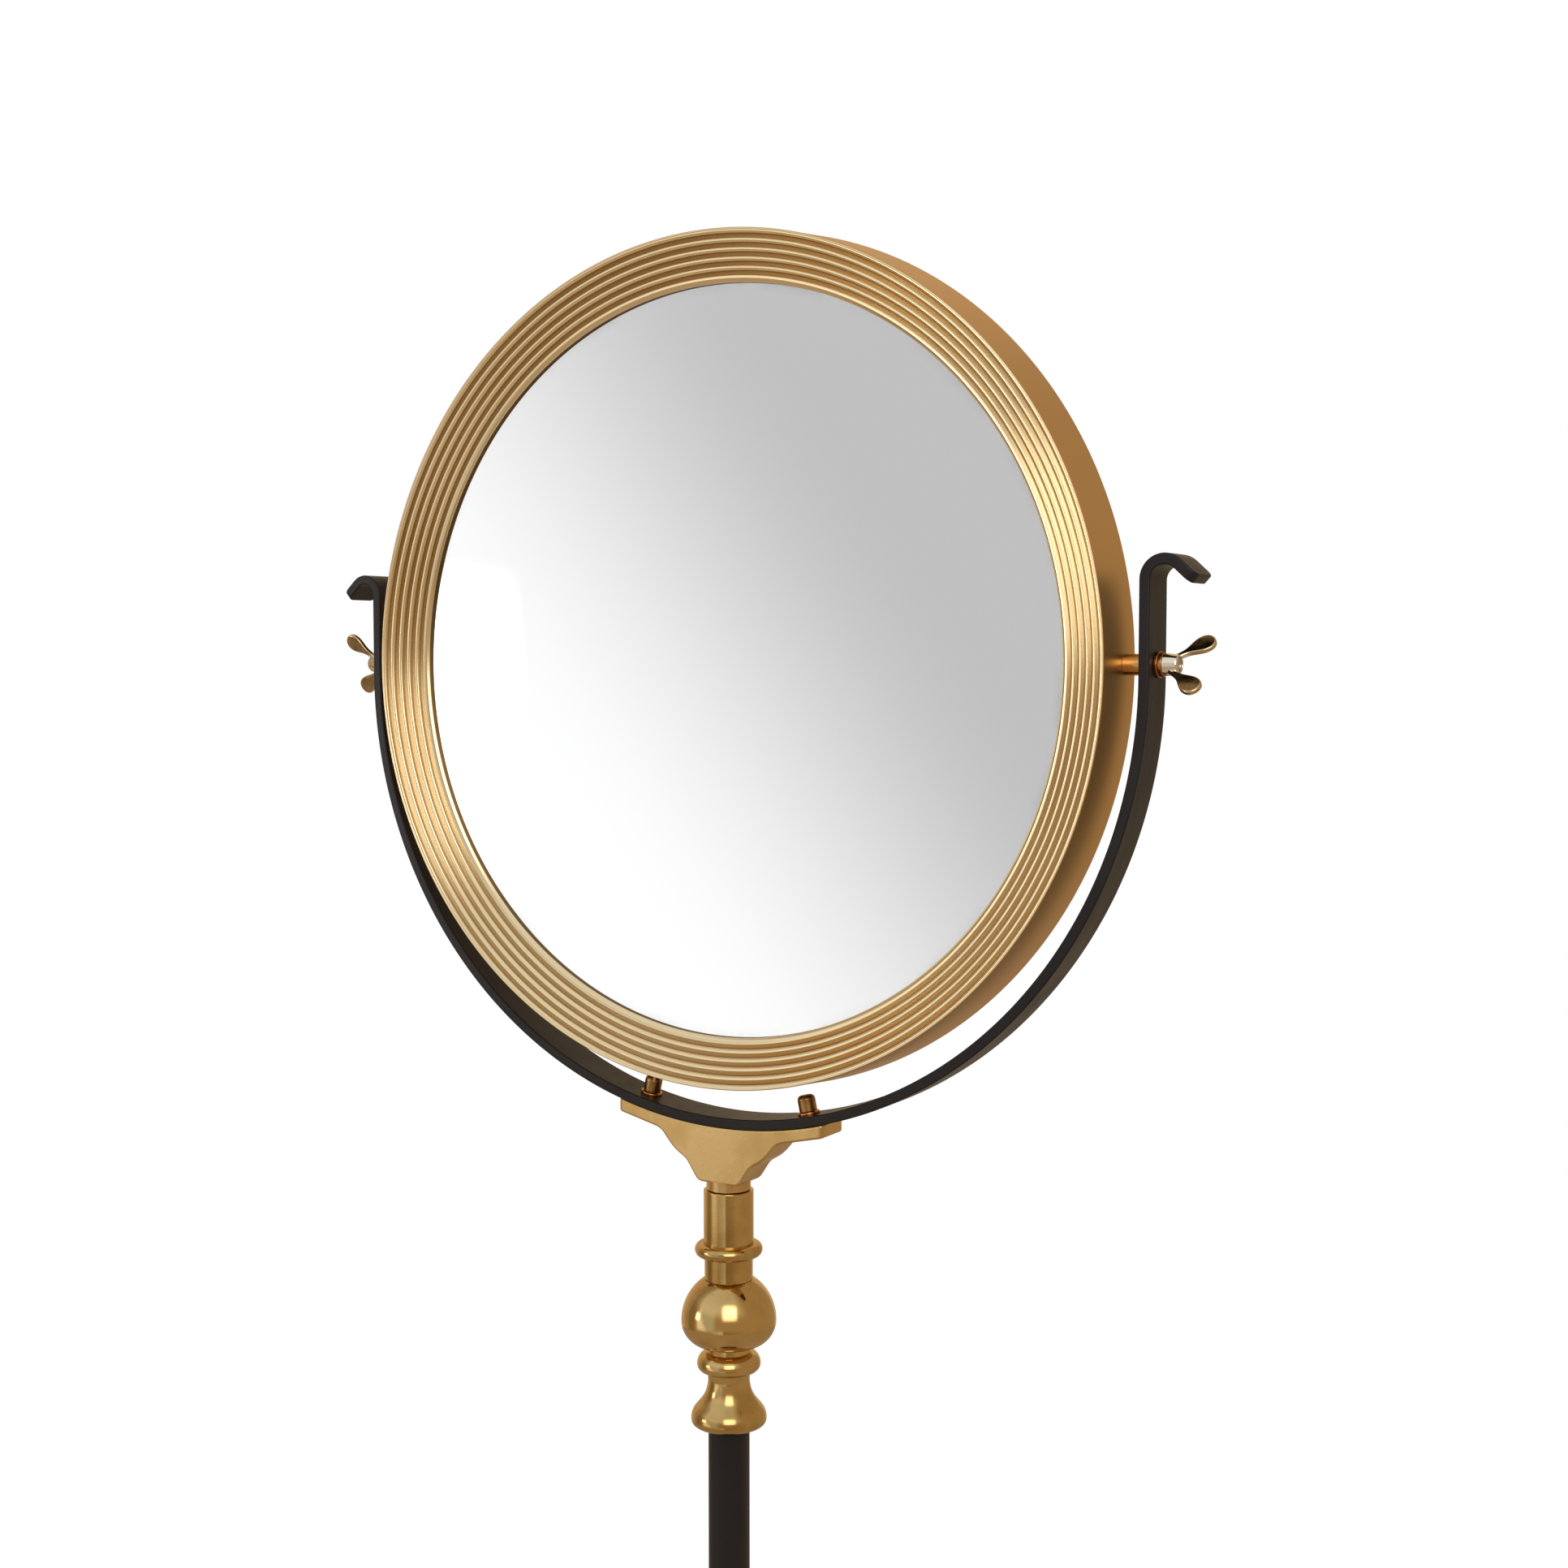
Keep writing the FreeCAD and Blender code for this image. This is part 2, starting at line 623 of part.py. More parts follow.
def make_ball():
    bore = ROD_R + ROD_ROOM
    widest = (BALL_R, ball_z)
    top = (BALL_TOP_R, ball_top_z)
    foot = (BALL_FOOT_R, ball_foot_z)
    return turned(
        (bore, ball_top_z),
        top,
        (swell(widest, top), widest),
        (swell(widest, foot), foot),
        (bore, ball_foot_z),
    )


def make_bell():
    """Neck, bead, waist and bell that cap the post."""
    bore = ROD_R + ROD_ROOM
    socket = POST_R + SEAT_FIT
    widest = (BEAD_R, bead_z)
    root = (BEAD_NECK_R, bead_top_z)
    foot = (BEAD_FOOT_R, bead_foot_z)
    return turned(
        (bore, ball_foot_z),
        (BEAD_NECK_R, ball_foot_z),
        root,
        (swell(widest, root), widest),
        (swell(widest, foot), foot),
        (WAIST_R, waist_z),
        [(WAIST_R, waist_z - WAIST_PULL), (BELL_R, bell_z + BELL_PULL), (BELL_R, bell_z)],
        [(BELL_R, bell_foot_z), (BELL_FOOT_R, bell_foot_z)],
        (socket, bell_foot_z),
        (socket, post_top_z),
        (bore, post_top_z),
    )


def make_post():
    bore = POST_R - POST_WALL
    return turned((bore, post_foot_z), (POST_R, post_foot_z), (POST_R, post_top_z), (bore, post_top_z))


def make_rod():
    return Part.makeCylinder(ROD_R, rod_top_z - rod_foot_z, V(0, 0, rod_foot_z), Z_AXIS)


def make_tie_washer():
    return turned(
        (ROD_R + SEAT_FIT, nut_seat_z - TIE_WASHER_T),
        (TIE_WASHER_R, nut_seat_z - TIE_WASHER_T),
        (TIE_WASHER_R, nut_seat_z),
        (ROD_R + SEAT_FIT, nut_seat_z),
    )


def make_tie_nut():
    foot = V(0, 0, nut_seat_z - TIE_WASHER_T - NUT_H)
    return hexagon(NUT_AF, NUT_H, foot, Z_AXIS).cut(Part.makeCylinder(ROD_R + SEAT_FIT, NUT_H, foot, Z_AXIS))


def make_collar():
    """Turned collar round the foot of the post."""
    socket = POST_R + SEAT_FIT
    rim_z = base_top_z + COLLAR_RIM
    top_z = base_top_z + COLLAR_H
    bead_z = top_z - COLLAR_BEAD_H
    return turned(
        (socket, base_top_z),
        (COLLAR_R, base_top_z),
        (COLLAR_R, rim_z),
        [(COLLAR_TOP_R, rim_z), (COLLAR_TOP_R, bead_z)],
        ((COLLAR_BEAD_R, (bead_z + top_z) / 2), (COLLAR_TOP_R, top_z)),
        (socket, top_z),
    )


def make_base():
    """Round weighted foot with a low domed top."""
    rim_z = FELT_T + BASE_RIM
    shoulder_r = BASE_R - BASE_ROUND
    socket = POST_R + SEAT_FIT
    middle_r = (shoulder_r + BASE_HUB_R) / 2
    return turned(
        (NUT_RECESS_R, FELT_T),
        (BASE_R, FELT_T),
        (BASE_R, rim_z),
        [(BASE_R, rim_z + BASE_ROUND), (shoulder_r, rim_z + BASE_ROUND)],
        [(middle_r, rim_z + BASE_ROUND), (middle_r, base_top_z), (BASE_HUB_R, base_top_z)],
        (socket, base_top_z),
        (socket, post_foot_z),
        (ROD_R + ROD_ROOM, post_foot_z),
        (ROD_R + ROD_ROOM, nut_seat_z),
        (NUT_RECESS_R, nut_seat_z),
    )


def make_felt():
    return Part.makeCylinder(FELT_R, FELT_T)


ring = make_ring()
bolt = make_bolt()
spacer = make_spacer(ring)
flat_washer = make_flat_washer()
lock_washer = make_lock_washer()

pieces = {
    "felt_pad": make_felt(),
    "base_weight": make_base(),
    "foot_collar": make_collar(),
    "post_tube": make_post(),
    "tie_rod": make_rod(),
    "tie_washer": make_tie_washer(),
    "tie_nut": make_tie_nut(),
    "bell_ferrule": make_bell(),
    "ball_knop": make_ball(),
    "column_sleeve": make_sleeve(),
    "swivel_bush": make_bush(),
    "saddle_bracket": make_bracket(),
    "yoke_bar": make_yoke(),
    "yoke_screws": make_screws(),
    "screw_washers": make_screw_washers(),
    "mirror_frame": ring,
    "mirror_glass": make_glass(),
    "backing_board": make_board(),
    "back_clips": make_clips(),
    "clip_screws": make_clip_screws(),
    "pivot_bolt_right": bolt,
    "pivot_bolt_left": mirrored(bolt),
    "pivot_spacer_right": spacer,
    "pivot_spacer_left": mirrored(spacer),
    "flat_washer_right": flat_washer,
    "flat_washer_left": mirrored(flat_washer),
    "lock_washer_right": lock_washer,
    "lock_washer_left": mirrored(lock_washer),
    "wing_nut_right": make_wing_nut(WING_TURN_RIGHT),
    "wing_nut_left": mirrored(make_wing_nut(WING_TURN_LEFT)),
}

for name, shape in pieces.items():
    shape.exportStep("parts/%s.step" % name)
    box = shape.BoundBox
    print("%-20s solids %d valid %s volume %.0f x %.1f..%.1f y %.1f..%.1f z %.1f..%.1f" % (
        name, len(shape.Solids), shape.isValid(), shape.Volume,
        box.XMin, box.XMax, box.YMin, box.YMax, box.ZMin, box.ZMax))
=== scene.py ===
import math

import bpy
from mathutils import Matrix, Vector


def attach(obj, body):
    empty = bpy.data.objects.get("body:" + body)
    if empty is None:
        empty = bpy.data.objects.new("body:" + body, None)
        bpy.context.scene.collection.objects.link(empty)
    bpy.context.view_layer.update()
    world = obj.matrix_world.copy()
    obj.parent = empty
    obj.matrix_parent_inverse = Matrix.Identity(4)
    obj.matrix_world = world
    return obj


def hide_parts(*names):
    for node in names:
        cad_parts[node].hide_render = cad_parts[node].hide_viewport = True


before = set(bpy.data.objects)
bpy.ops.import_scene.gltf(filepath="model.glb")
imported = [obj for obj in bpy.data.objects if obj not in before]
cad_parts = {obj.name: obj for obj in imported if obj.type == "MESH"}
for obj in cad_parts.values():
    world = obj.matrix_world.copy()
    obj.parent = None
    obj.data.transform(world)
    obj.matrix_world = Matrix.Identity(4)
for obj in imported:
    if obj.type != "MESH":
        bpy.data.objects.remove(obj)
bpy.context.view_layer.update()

# Sizes in millimetres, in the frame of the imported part. A name in X, Y or Z is a place along that axis.
PIVOT_H = 1400.0

# Ring, glass and back
RING_R, RING_FLARE, RING_DEPTH, RING_FRONT = 250.0, 3.2, 36.0, -26.3
RING_WALL, EDGE_ROUND, BACK_ROUND, SKIRT_ROUND = 3.0, 1.2, 0.5, 0.4
WALL_LOOPS = (-10, 8.5)
HOLLOW_R, HOLLOW_Y, SKIRT_ROOT_Y = 247.0, -21.63, -14.98
LIP_R, LIP_Y, GLASS_Y, BOARD_Y, CLIP_Y = 221.2, -13.1, -10.7, -6.7, -1.7
LIP_ROUND, LIP_BEAD, ARRIS_BEAD, EDGE_BEAD = 0.4, 0.3, 0.22, 0.15
GLASS_R, POCKET_R, SKIRT_R = 225.0, 225.5, 232.5
FLUTES, FLUTE_DROP, FLUTE_COVE, ARRIS_W = 5, 0.9, 0.8, 1.6
FACE_RIM, EDGE_RIM = 2.8, 2.0
CLIPS, CLIP_HALF_W, CLIP_T, CLIP_IN_R, CLIP_SCREW_R = 8, 5.5, 1.0, 220.0, 229.0

# Tilt pivots
BOLT_R, BOLT_HOLE_R, SPOT_FACE_R = 4.0, 4.05, 8.3
BOLT_HEAD_AF, BOLT_HEAD_H, BOLT_SEAT_X = 13.0, 5.3, 250.14
SPACER_R, SPACER_X, SPACER_OUT_X = 5.8, 251.8, 263.64
FLAT_WASHER_R, LOCK_WASHER_R, LOCK_SPLIT = 7.1, 6.5, 1.2
ARM_X, ARM_OUT_X, WASHER_X, LOCK_X, NUT_X, NUT_TOP_X = 263.74, 269.74, 269.84, 271.64, 273.84, 282.24
WING_T, WING_ROOT_X, WING_ROOT_R, WING_COS, WING_SIN = 3.0, NUT_X + 4.4, 4.6, 0.788, 0.616
WING_TURN_LEFT, WING_TURN_RIGHT = 24.0, -45.0

# Yoke and saddle
YOKE_Z, BAR_W, BAR_T, BAR_EDGE = 1393.7, 25.4, 6.0, 0.9
HOOK_X, HOOK_Z, HOOK_TURN, HOOK_TAIL, HOOK_CORNER = 277.24, 1444.5, 132.0, 12.5, 5.0
SCREW_X, SCREW_R, SCREW_HOLE_R, SCREW_HEAD_R = 56.5, 3.0, 3.05, 5.3
SCREW_FOOT, SCREW_SEAT, SCREW_DOME, SCREW_TOP = -10.4, 2.0, 8.6, 11.6
SLOT_HALF_W, SLOT_TURN_LEFT, SLOT_TURN_RIGHT = 0.8, -57.0, 33.0
COLLAR_R = 6.7
SADDLE_Z, SADDLE_HALF_L, SADDLE_W, SADDLE_EDGE = 1123.96, 72.3, 24.6, 1.5
NECK_R, SPIGOT_R, SPIGOT_L = 13.4, 9.0, 32.0

# Stand
SHOULDER_Z, SLEEVE_Z, MOULD_Z, COLLET_Z = 1084.36, 1084.06, 1051.36, 1044.06
SLEEVE_R, SLEEVE_BORE_R, SLEEVE_BORE_L, MOULD_R, COLLET_R = 15.1, 12.1, 35.0, 20.5, 14.6
BALL_TOP_Z, BALL_Z, BALL_FOOT_Z, BALL_R = 1029.36, 1004.06, 988.66, 28.8
BEAD_TOP_Z, BEAD_Z, BEAD_FOOT_Z, BEAD_R, BEAD_NECK_R = 984.86, 977.46, 972.86, 19.3, 13.3
WAIST_Z, BELL_Z, BELL_FOOT_Z, WAIST_R, BELL_R = 969.46, 943.96, 939.96, 12.6, 22.9
POST_TOP_Z, POST_FOOT_Z, POST_R, POST_BORE_R, POST_SEAT_R = 951.96, 17.0, 12.5, 10.5, 12.55
ROD_HOLE_R, ROD_SOCKET_R, ROD_SOCKET_L, NUT_ROOM_R, NUT_ROOM_Z = 4.3, 4.05, 12.0, 14.0, 13.5
BASE_TOP_Z, BASE_R, BASE_FOOT_Z, BASE_EDGE_Z = 35.0, 180.0, 3.0, 18.0
FOOT_RING_R, FOOT_RING_T, FOOT_NECK_R = 34.0, 4.0, 16.0
FELT_R, FELT_T = 172.0, 3.0

# Middle of a quarter rounding as a share of its radius, the gap in metres at which seam points merge,
# and how far the facets of the ring's fine grooves lean, as a slope
MID_ROUND = 0.29
SEAM = 2e-6
GROOVE_LEAN = 0.78

PIVOT = Vector((0, 0, PIVOT_H)) / 1000
POST_AXIS = ((0, 0, 0), (0, 0, 1))
MIRROR_AXIS = (PIVOT, (0, 1, 0))
TILT_AXIS = (PIVOT, (1, 0, 0))
CLIP_TURNS = [math.radians((k + 0.5) * 360 / CLIPS) for k in range(CLIPS)]


def spot(x, y, z):
    """Point in metres from millimetres."""
    return Vector((x, y, z)) / 1000


def post_section(r, z):
    """Section to turn about the post's axis."""
    return spot(r, 0, z)


def mirror_section(r, y):
    """Section to turn about the middle of the glass."""
    return spot(0, y, PIVOT_H + r)


def tilt_section(r, x):
    """Section to turn about the tilt axis."""
    return spot(x, 0, PIVOT_H + r)


class Pen:
    """Draws a section in edit mode from one point. Points are flat, in millimetres, and place sets
    them in space."""

    def __init__(self, name, place, start):
        self.place = place
        self.start = start
        self.tip = place(*start)
        self.piece = named(added(bpy.ops.mesh.primitive_plane_add, size=0.001, location=self.tip), name)
        bpy.ops.object.mode_set(mode="EDIT")
        bpy.ops.mesh.select_mode(type="VERT")
        bpy.ops.mesh.merge(type="CENTER")

    def reach(self, there):
        """Straight line to a point in space."""
        bpy.ops.mesh.extrude_region_move(TRANSFORM_OT_translate={"value": there - self.tip})
        self.tip = there

    def to(self, *points):
        """Straight lines from point to point."""
        for point in points:
            self.reach(self.place(*point))

    def arc(self, middle, end, steps):
        """Arc through a middle point, spun from the tip."""
        a, b, c = self.tip, self.place(*middle), self.place(*end)
        u, v = (b - a) * 1000, (c - a) * 1000
        w = u.cross(v)
        to_centre = w.cross(u) * v.length_squared + v.cross(w) * u.length_squared
        centre = a + to_centre / (2 * w.length_squared) / 1000
        axis = w.normalized()
        turn = (a - centre).angle(c - centre)
        if (a - centre).cross(c - centre).dot(axis) < 0:
            turn = math.tau - turn
        bpy.ops.mesh.spin(steps=steps, angle=-turn, center=centre, axis=axis)
        self.tip = c

    def curve(self, poles, steps):
        """Smooth run along the curve that the tip and the poles pull."""
        here = [self.tip] + [self.place(*p) for p in poles]
        for k in range(1, steps + 1):
            row = list(here)
            while len(row) > 1:
                row = [a.lerp(b, k / steps) for a, b in zip(row, row[1:])]
            self.reach(row[0])

    def turned(self, axis, steps, closed=True):
        """Solid turned about an axis, from a section that is closed or ends on the axis."""
        if closed:
            self.to(self.start)
        bpy.ops.mesh.select_all(action="SELECT")
        bpy.ops.mesh.spin(steps=steps, angle=math.tau, center=axis[0], axis=axis[1])
        return close_up(self.piece)

    def plate(self, along):
        """Solid pushed out of the closed section."""
        self.to(self.start)
        bpy.ops.mesh.select_all(action="SELECT")
        bpy.ops.mesh.remove_doubles(threshold=SEAM)
        bpy.ops.mesh.edge_face_add()
        bpy.ops.mesh.extrude_region_move(TRANSFORM_OT_translate={"value": along})
        return close_up(self.piece)


def named(piece, name):
    """The piece, with its mesh named alike."""
    piece.name = name
    piece.data.name = name
    return piece


def added(primitive, scale=(1, 1, 1), **settings):
    """A new plane, cube or cylinder, alone selected and with its scale and turn applied."""
    bpy.ops.object.select_all(action="DESELECT")
    primitive(**settings)
    bpy.context.object.scale = scale
    bpy.ops.object.transform_apply()
    return bpy.context.object


def take(piece):
    """Back to object mode, with this piece alone selected."""
    if bpy.context.mode != "OBJECT":
        bpy.ops.object.mode_set(mode="OBJECT")
    bpy.ops.object.select_all(action="DESELECT")
    piece.select_set(True)
    bpy.context.view_layer.objects.active = piece
    return piece


def edit_all(piece):
    """Edit mode with the whole piece selected."""
    take(piece)
    bpy.ops.object.mode_set(mode="EDIT")
    bpy.ops.mesh.select_all(action="SELECT")


def close_up(piece, smooth=32):
    """Seams merged, faces turned outwards, and edges sharper than smooth degrees kept crisp."""
    edit_all(piece)
    bpy.ops.mesh.remove_doubles(threshold=SEAM)
    bpy.ops.mesh.normals_make_consistent(inside=False)
    bpy.ops.object.mode_set(mode="OBJECT")
    bpy.ops.object.shade_smooth_by_angle(angle=math.radians(smooth))
    return piece


def spun(piece, turn, axis):
    """The piece's mesh turned about the mirror's middle, by radians round X or Y."""
    edit_all(piece)
    bpy.ops.transform.rotate(value=-turn, orient_axis=axis, orient_type="GLOBAL", center_override=PIVOT)
    return take(piece)


def apply(piece, kind, **settings):
    """One modifier, applied at once."""
    take(piece)
    modifier = piece.modifiers.new(kind.lower(), kind)
    for key, value in settings.items():
        setattr(modifier, key, value)
    bpy.ops.object.modifier_apply(modifier=modifier.name)
    return piece


def eased(piece, width, segments, corner):
    """Every edge sharper than corner degrees rounded over a width in millimetres."""
    return apply(piece, "BEVEL", width=width / 1000, segments=segments, limit_method="ANGLE",
                 angle_limit=math.radians(corner))


def joined(piece, tool, operation):
    """Piece with a tool cut from it or welded to it. The tool is used up."""
    apply(piece, "BOOLEAN", object=tool, operation=operation, solver="EXACT")
    bpy.data.objects.remove(tool)
    return close_up(piece)


def drill(radius, start, end, sides=48):
    """Round cutter between two points in millimetres."""
    a, b = spot(*start), spot(*end)
    return added(bpy.ops.mesh.primitive_cylinder_add, vertices=sides, radius=radius / 1000,
                 depth=(b - a).length, location=(a + b) / 2,
                 rotation=(b - a).to_track_quat("Z", "Y").to_euler())


def block(name, low, high):
    """Square block between two corners in millimetres."""
    a, b = spot(*low), spot(*high)
    return named(added(bpy.ops.mesh.primitive_cube_add, b - a, size=1, location=(a + b) / 2), name)


def edges_where(piece, wanted):
    """Edit mode with the edges selected whose two ends, in millimetres, pass the test."""
    take(piece)
    bpy.ops.object.mode_set(mode="EDIT")
    bpy.ops.mesh.select_mode(type="EDGE")
    bpy.ops.mesh.select_all(action="DESELECT")
    bpy.ops.object.mode_set(mode="OBJECT")
    corners = piece.data.vertices
    for edge in piece.data.edges:
        edge.select = wanted(*(corners[i].co * 1000 for i in edge.vertices))
    bpy.ops.object.mode_set(mode="EDIT")


def round_of_clips(piece, name):
    """The piece copied to every clip's place round the ring, all as one mesh."""
    ring = [piece]
    for turn in CLIP_TURNS[1:]:
        take(piece)
        bpy.ops.object.duplicate(linked=False)
        ring.append(spun(bpy.context.object, turn, "Y"))
    spun(piece, CLIP_TURNS[0], "Y")
    for other in ring:
        other.select_set(True)
    bpy.ops.object.join()
    return named(piece, name)


def other_side(piece, name):
    """Copy of a right-hand piece for the left-hand side."""
    take(piece)
    bpy.ops.object.duplicate(linked=False)
    copy = named(bpy.context.object, name)
    copy.scale = (-1, 1, 1)
    bpy.ops.object.transform_apply()
    return close_up(copy)


# Finishes

class Signal:
    """A value on its way through a finish. Sums, products and powers of signals add their own nodes."""

    def __init__(self, finish, socket):
        self.finish = finish
        self.socket = socket

    def math(self, operation, *values):
        return self.finish.node("ShaderNodeMath", {"operation": operation}, dict(enumerate(values)))

    def __add__(self, other):
        return self.math("ADD", self, other)

    def __radd__(self, other):
        return self.math("ADD", other, self)

    def __sub__(self, other):
        return self.math("SUBTRACT", self, other)

    def __rsub__(self, other):
        return self.math("SUBTRACT", other, self)

    def __mul__(self, other):
        return self.math("MULTIPLY", self, other)

    def __rmul__(self, other):
        return self.math("MULTIPLY", other, self)

    def __truediv__(self, other):
        return self.math("DIVIDE", self, other)

    def __pow__(self, other):
        return self.math("POWER", self, other)

    def between(self, low, full, fall, gone):
        """Smooth rise from low to full, and back to 0 from fall to gone."""
        return self.step(low, full) * (1 - self.step(fall, gone))

    def step(self, low, high):
        """Smooth rise from 0 at low to 1 at high."""
        return self.finish.node("ShaderNodeMapRange", {"interpolation_type": "SMOOTHSTEP"},
                                {"Value": self, "From Min": low, "From Max": high})

    def beside(self, outlet):
        """Another outlet of the node that this value comes from."""
        return Signal(self.finish, self.socket.node.outputs[outlet])


class Finish:
    """One material, studio lamp or studio sky, built node by node."""

    def __init__(self, name, owner=None):
        self.owner = owner or bpy.data.materials.new(name)
        self.owner.use_nodes = True
        self.tree = self.owner.node_tree
        self.tree.nodes.clear()

    def node(self, kind, settings=None, inlets=None, outlet=0):
        """One node with its settings, its inlets linked or set, and the outlet that carries on."""
        made = self.tree.nodes.new(kind)
        for key, value in (settings or {}).items():
            setattr(made, key, value)
        for key, value in (inlets or {}).items():
            if isinstance(value, Signal):
                self.tree.links.new(value.socket, made.inputs[key])
            else:
                made.inputs[key].default_value = value
        return Signal(self, made.outputs[outlet])

    def place(self, centre=(0, 0, 0)):
        """Place on the surface from a centre in the part's frame, in metres."""
        at = self.node("ShaderNodeTexCoord", outlet="Object")
        return self.node("ShaderNodeVectorMath", {"operation": "SUBTRACT"}, {0: at, 1: centre})

    def spread(self, at):
        """The three parts of a place or a direction."""
        x = self.node("ShaderNodeSeparateXYZ", None, {0: at})
        return x, x.beside(1), x.beside(2)

    def grain(self, at, scale, detail=3.0, rough=0.5):
        """Soft noise of 0 to 1, with scale grains to the metre."""
        return self.node("ShaderNodeTexNoise", None,
                         {"Vector": at, "Scale": scale, "Detail": detail, "Roughness": rough})

    def stretched(self, x, y, z):
        """A place or a direction put together from three parts."""
        return self.node("ShaderNodeCombineXYZ", None, {0: x, 1: y, 2: z})

    def blend(self, share, first, second):
        """First colour, with a share of the second."""
        return self.node("ShaderNodeMix", {"data_type": "RGBA"}, {0: share, 6: first, 7: second}, 2)

    def relief(self, height, depth, **under):
        """Surface normal from a height of 0 to 1 over a depth in metres."""
        return self.node("ShaderNodeBump", None, {"Distance": depth, "Height": height, **under})

    def leaned(self, x, y, z):
        """Surface normal that leans along a direction in the part's frame."""
        lean = self.node("ShaderNodeVectorTransform", {"convert_from": "OBJECT", "convert_to": "WORLD"},
                         {0: self.stretched(x, y, z)})
        normal = self.node("ShaderNodeNewGeometry", outlet="Normal")
        normal = self.node("ShaderNodeVectorMath", {"operation": "ADD"}, {0: normal, 1: lean})
        return self.node("ShaderNodeVectorMath", {"operation": "NORMALIZE"}, {0: normal})

    def coat(self, **inlets):
        """The surface itself, on Principled's own sockets."""
        named = {key.replace("_", " "): value for key, value in inlets.items()}
        surface = self.node("ShaderNodeBsdfPrincipled", None, named)
        return self.end(surface)

    def end(self, surface, kind="ShaderNodeOutputMaterial"):
        """Last node of the finish, which shows the surface."""
        out = self.tree.nodes.new(kind)
        self.tree.links.new(surface.socket, out.inputs["Surface"])
        return self.owner


def tone(red, green, blue):
    """Screen colour, 0 to 255, as the light that a surface returns."""
    return tuple(((c / 255 + 0.055) / 1.055) ** 2.4 for c in (red, green, blue)) + (1.0,)


def satin_brass():
    """Ring: flutes turned with fine V grooves, seen as two facets, arrises painted paler as a highlight,
    flute corners and the lip wall painted darker as shade."""
    f = Finish("satin_brass")
    at = f.place(PIVOT)
    x, y, z = f.spread(at)
    r = (x * x + z * z) ** 0.5
    across = r * 6000 - y * 3000
    grain = f.grain(f.stretched(across, x / r * 4, z / r * 4), 1.0, 2.0)
    brush = f.grain(f.stretched(across * 0.2, x / r * 2.5, z / r * 2.5), 1.0, 4.0, 0.6)
    cloud = f.grain(at, 14.0, 4.0)
    lip_r, lip_y, ring_r = LIP_R / 1000, LIP_Y / 1000, RING_R / 1000
    dish = math.atan2(LIP_Y - RING_FRONT, RING_R - LIP_R)
    sink = (r - lip_r) * math.sin(dish) + (y - lip_y) * math.cos(dish)
    face = 1 - sink.step(0.0011, 0.0014)
    arris = face * (1 - sink.step(0.00002, 0.00014))
    # Deepest part of each flute, by its riser.
    corner = face * sink.step(0.0006, 0.0009)
    side = r.step(ring_r - 0.0006, ring_r)
    # Inner wall of the lip beside the glass.
    shaded_lip_wall = (1 - r.step(lip_r + 0.0001, lip_r + 0.0003)) * y.step(lip_y + 0.0004, lip_y + 0.0008)
    base = f.blend(brush.step(0.3, 0.7), tone(237, 202, 143), tone(245, 212, 157))
    # Painted shade in the deep corner of each flute, with a little random tarnish from the cloud.
    base = f.blend(corner * 0.6 + cloud.step(0.5, 0.8) * 0.1, base, tone(150, 112, 66))
    # Painted highlight: the tops of the arrises in a paler tone.
    base = f.blend(arris, base, tone(252, 230, 186))
    base = f.blend(side, base, tone(226, 184, 122))
    # Painted shade: the lip wall beside the glass in dark brown.
    base = f.blend(shaded_lip_wall, base, tone(110, 88, 62))
    rough = 0.15 + brush * 0.06 + cloud.step(0.45, 0.75) * 0.04
    rough = rough + shaded_lip_wall * 0.3 - arris * 0.05 + side * 0.18
    marks = grain * (1 - arris) * 0.5 + brush * 0.5
    steep = face * (1 - arris) * (1 - side) * (1 - shaded_lip_wall) * GROOVE_LEAN
    facets = []
    for lean in (steep, 0 - steep):
        normal = f.relief(marks, 0.00003, Normal=f.leaned(x / r * lean, 0.0, z / r * lean))
        facets.append(f.node("ShaderNodeBsdfPrincipled", None, {
            "Base Color": base, "Metallic": 1.0, "Roughness": rough, "Normal": normal}))
    return f.end(f.node("ShaderNodeMixShader", None, {
        0: 0.16 + grain * 0.4, 1: facets[0], 2: facets[1]}))


def turned_brass():
    """Column: polished brass with faint turning marks, smears and tarnish."""
    f = Finish("turned_brass")
    at = f.place()
    x, y, z = f.spread(at)
    marks = f.grain(f.stretched(x * 9, y * 9, z * 2600), 1.0, 3.0)
    smear = f.grain(at, 38.0, 4.0, 0.6)
    speck = f.grain(at, 420.0, 2.0)
    base = f.blend(smear.step(0.4, 0.7), tone(218, 186, 124), tone(196, 162, 100))
    base = f.blend(speck.step(0.68, 0.8) * 0.5, base, tone(150, 106, 54))
    rough = 0.05 + smear.step(0.35, 0.75) * 0.07 + marks * 0.03
    normal = f.relief(marks * 0.5 + smear * 0.5, 0.00004)
    return f.coat(Base_Color=base, Metallic=1.0, Roughness=rough, Normal=normal)


def cast_brass():
    """Saddle bracket: cast brass, filed and rubbed to a soft sheen."""
    f = Finish("cast_brass")
    at = f.place()
    x, y, z = f.spread(at)
    rub = f.grain(f.stretched(x * 160, y * 700, z * 160), 1.0, 4.0, 0.6)
    cloud = f.grain(at, 30.0, 3.0)
    pit = f.grain(at, 600.0, 2.0)
    base = f.blend(cloud.step(0.35, 0.7), tone(226, 192, 132), tone(212, 174, 110))
    base = f.blend(pit.step(0.66, 0.78) * 0.4, base, tone(160, 116, 62))
    rough = 0.22 + rub * 0.08 + cloud.step(0.4, 0.8) * 0.08
    normal = f.relief(rub * 0.6 + pit * 0.4, 0.00004)
    return f.coat(Base_Color=base, Metallic=1.0, Roughness=rough, Normal=normal)


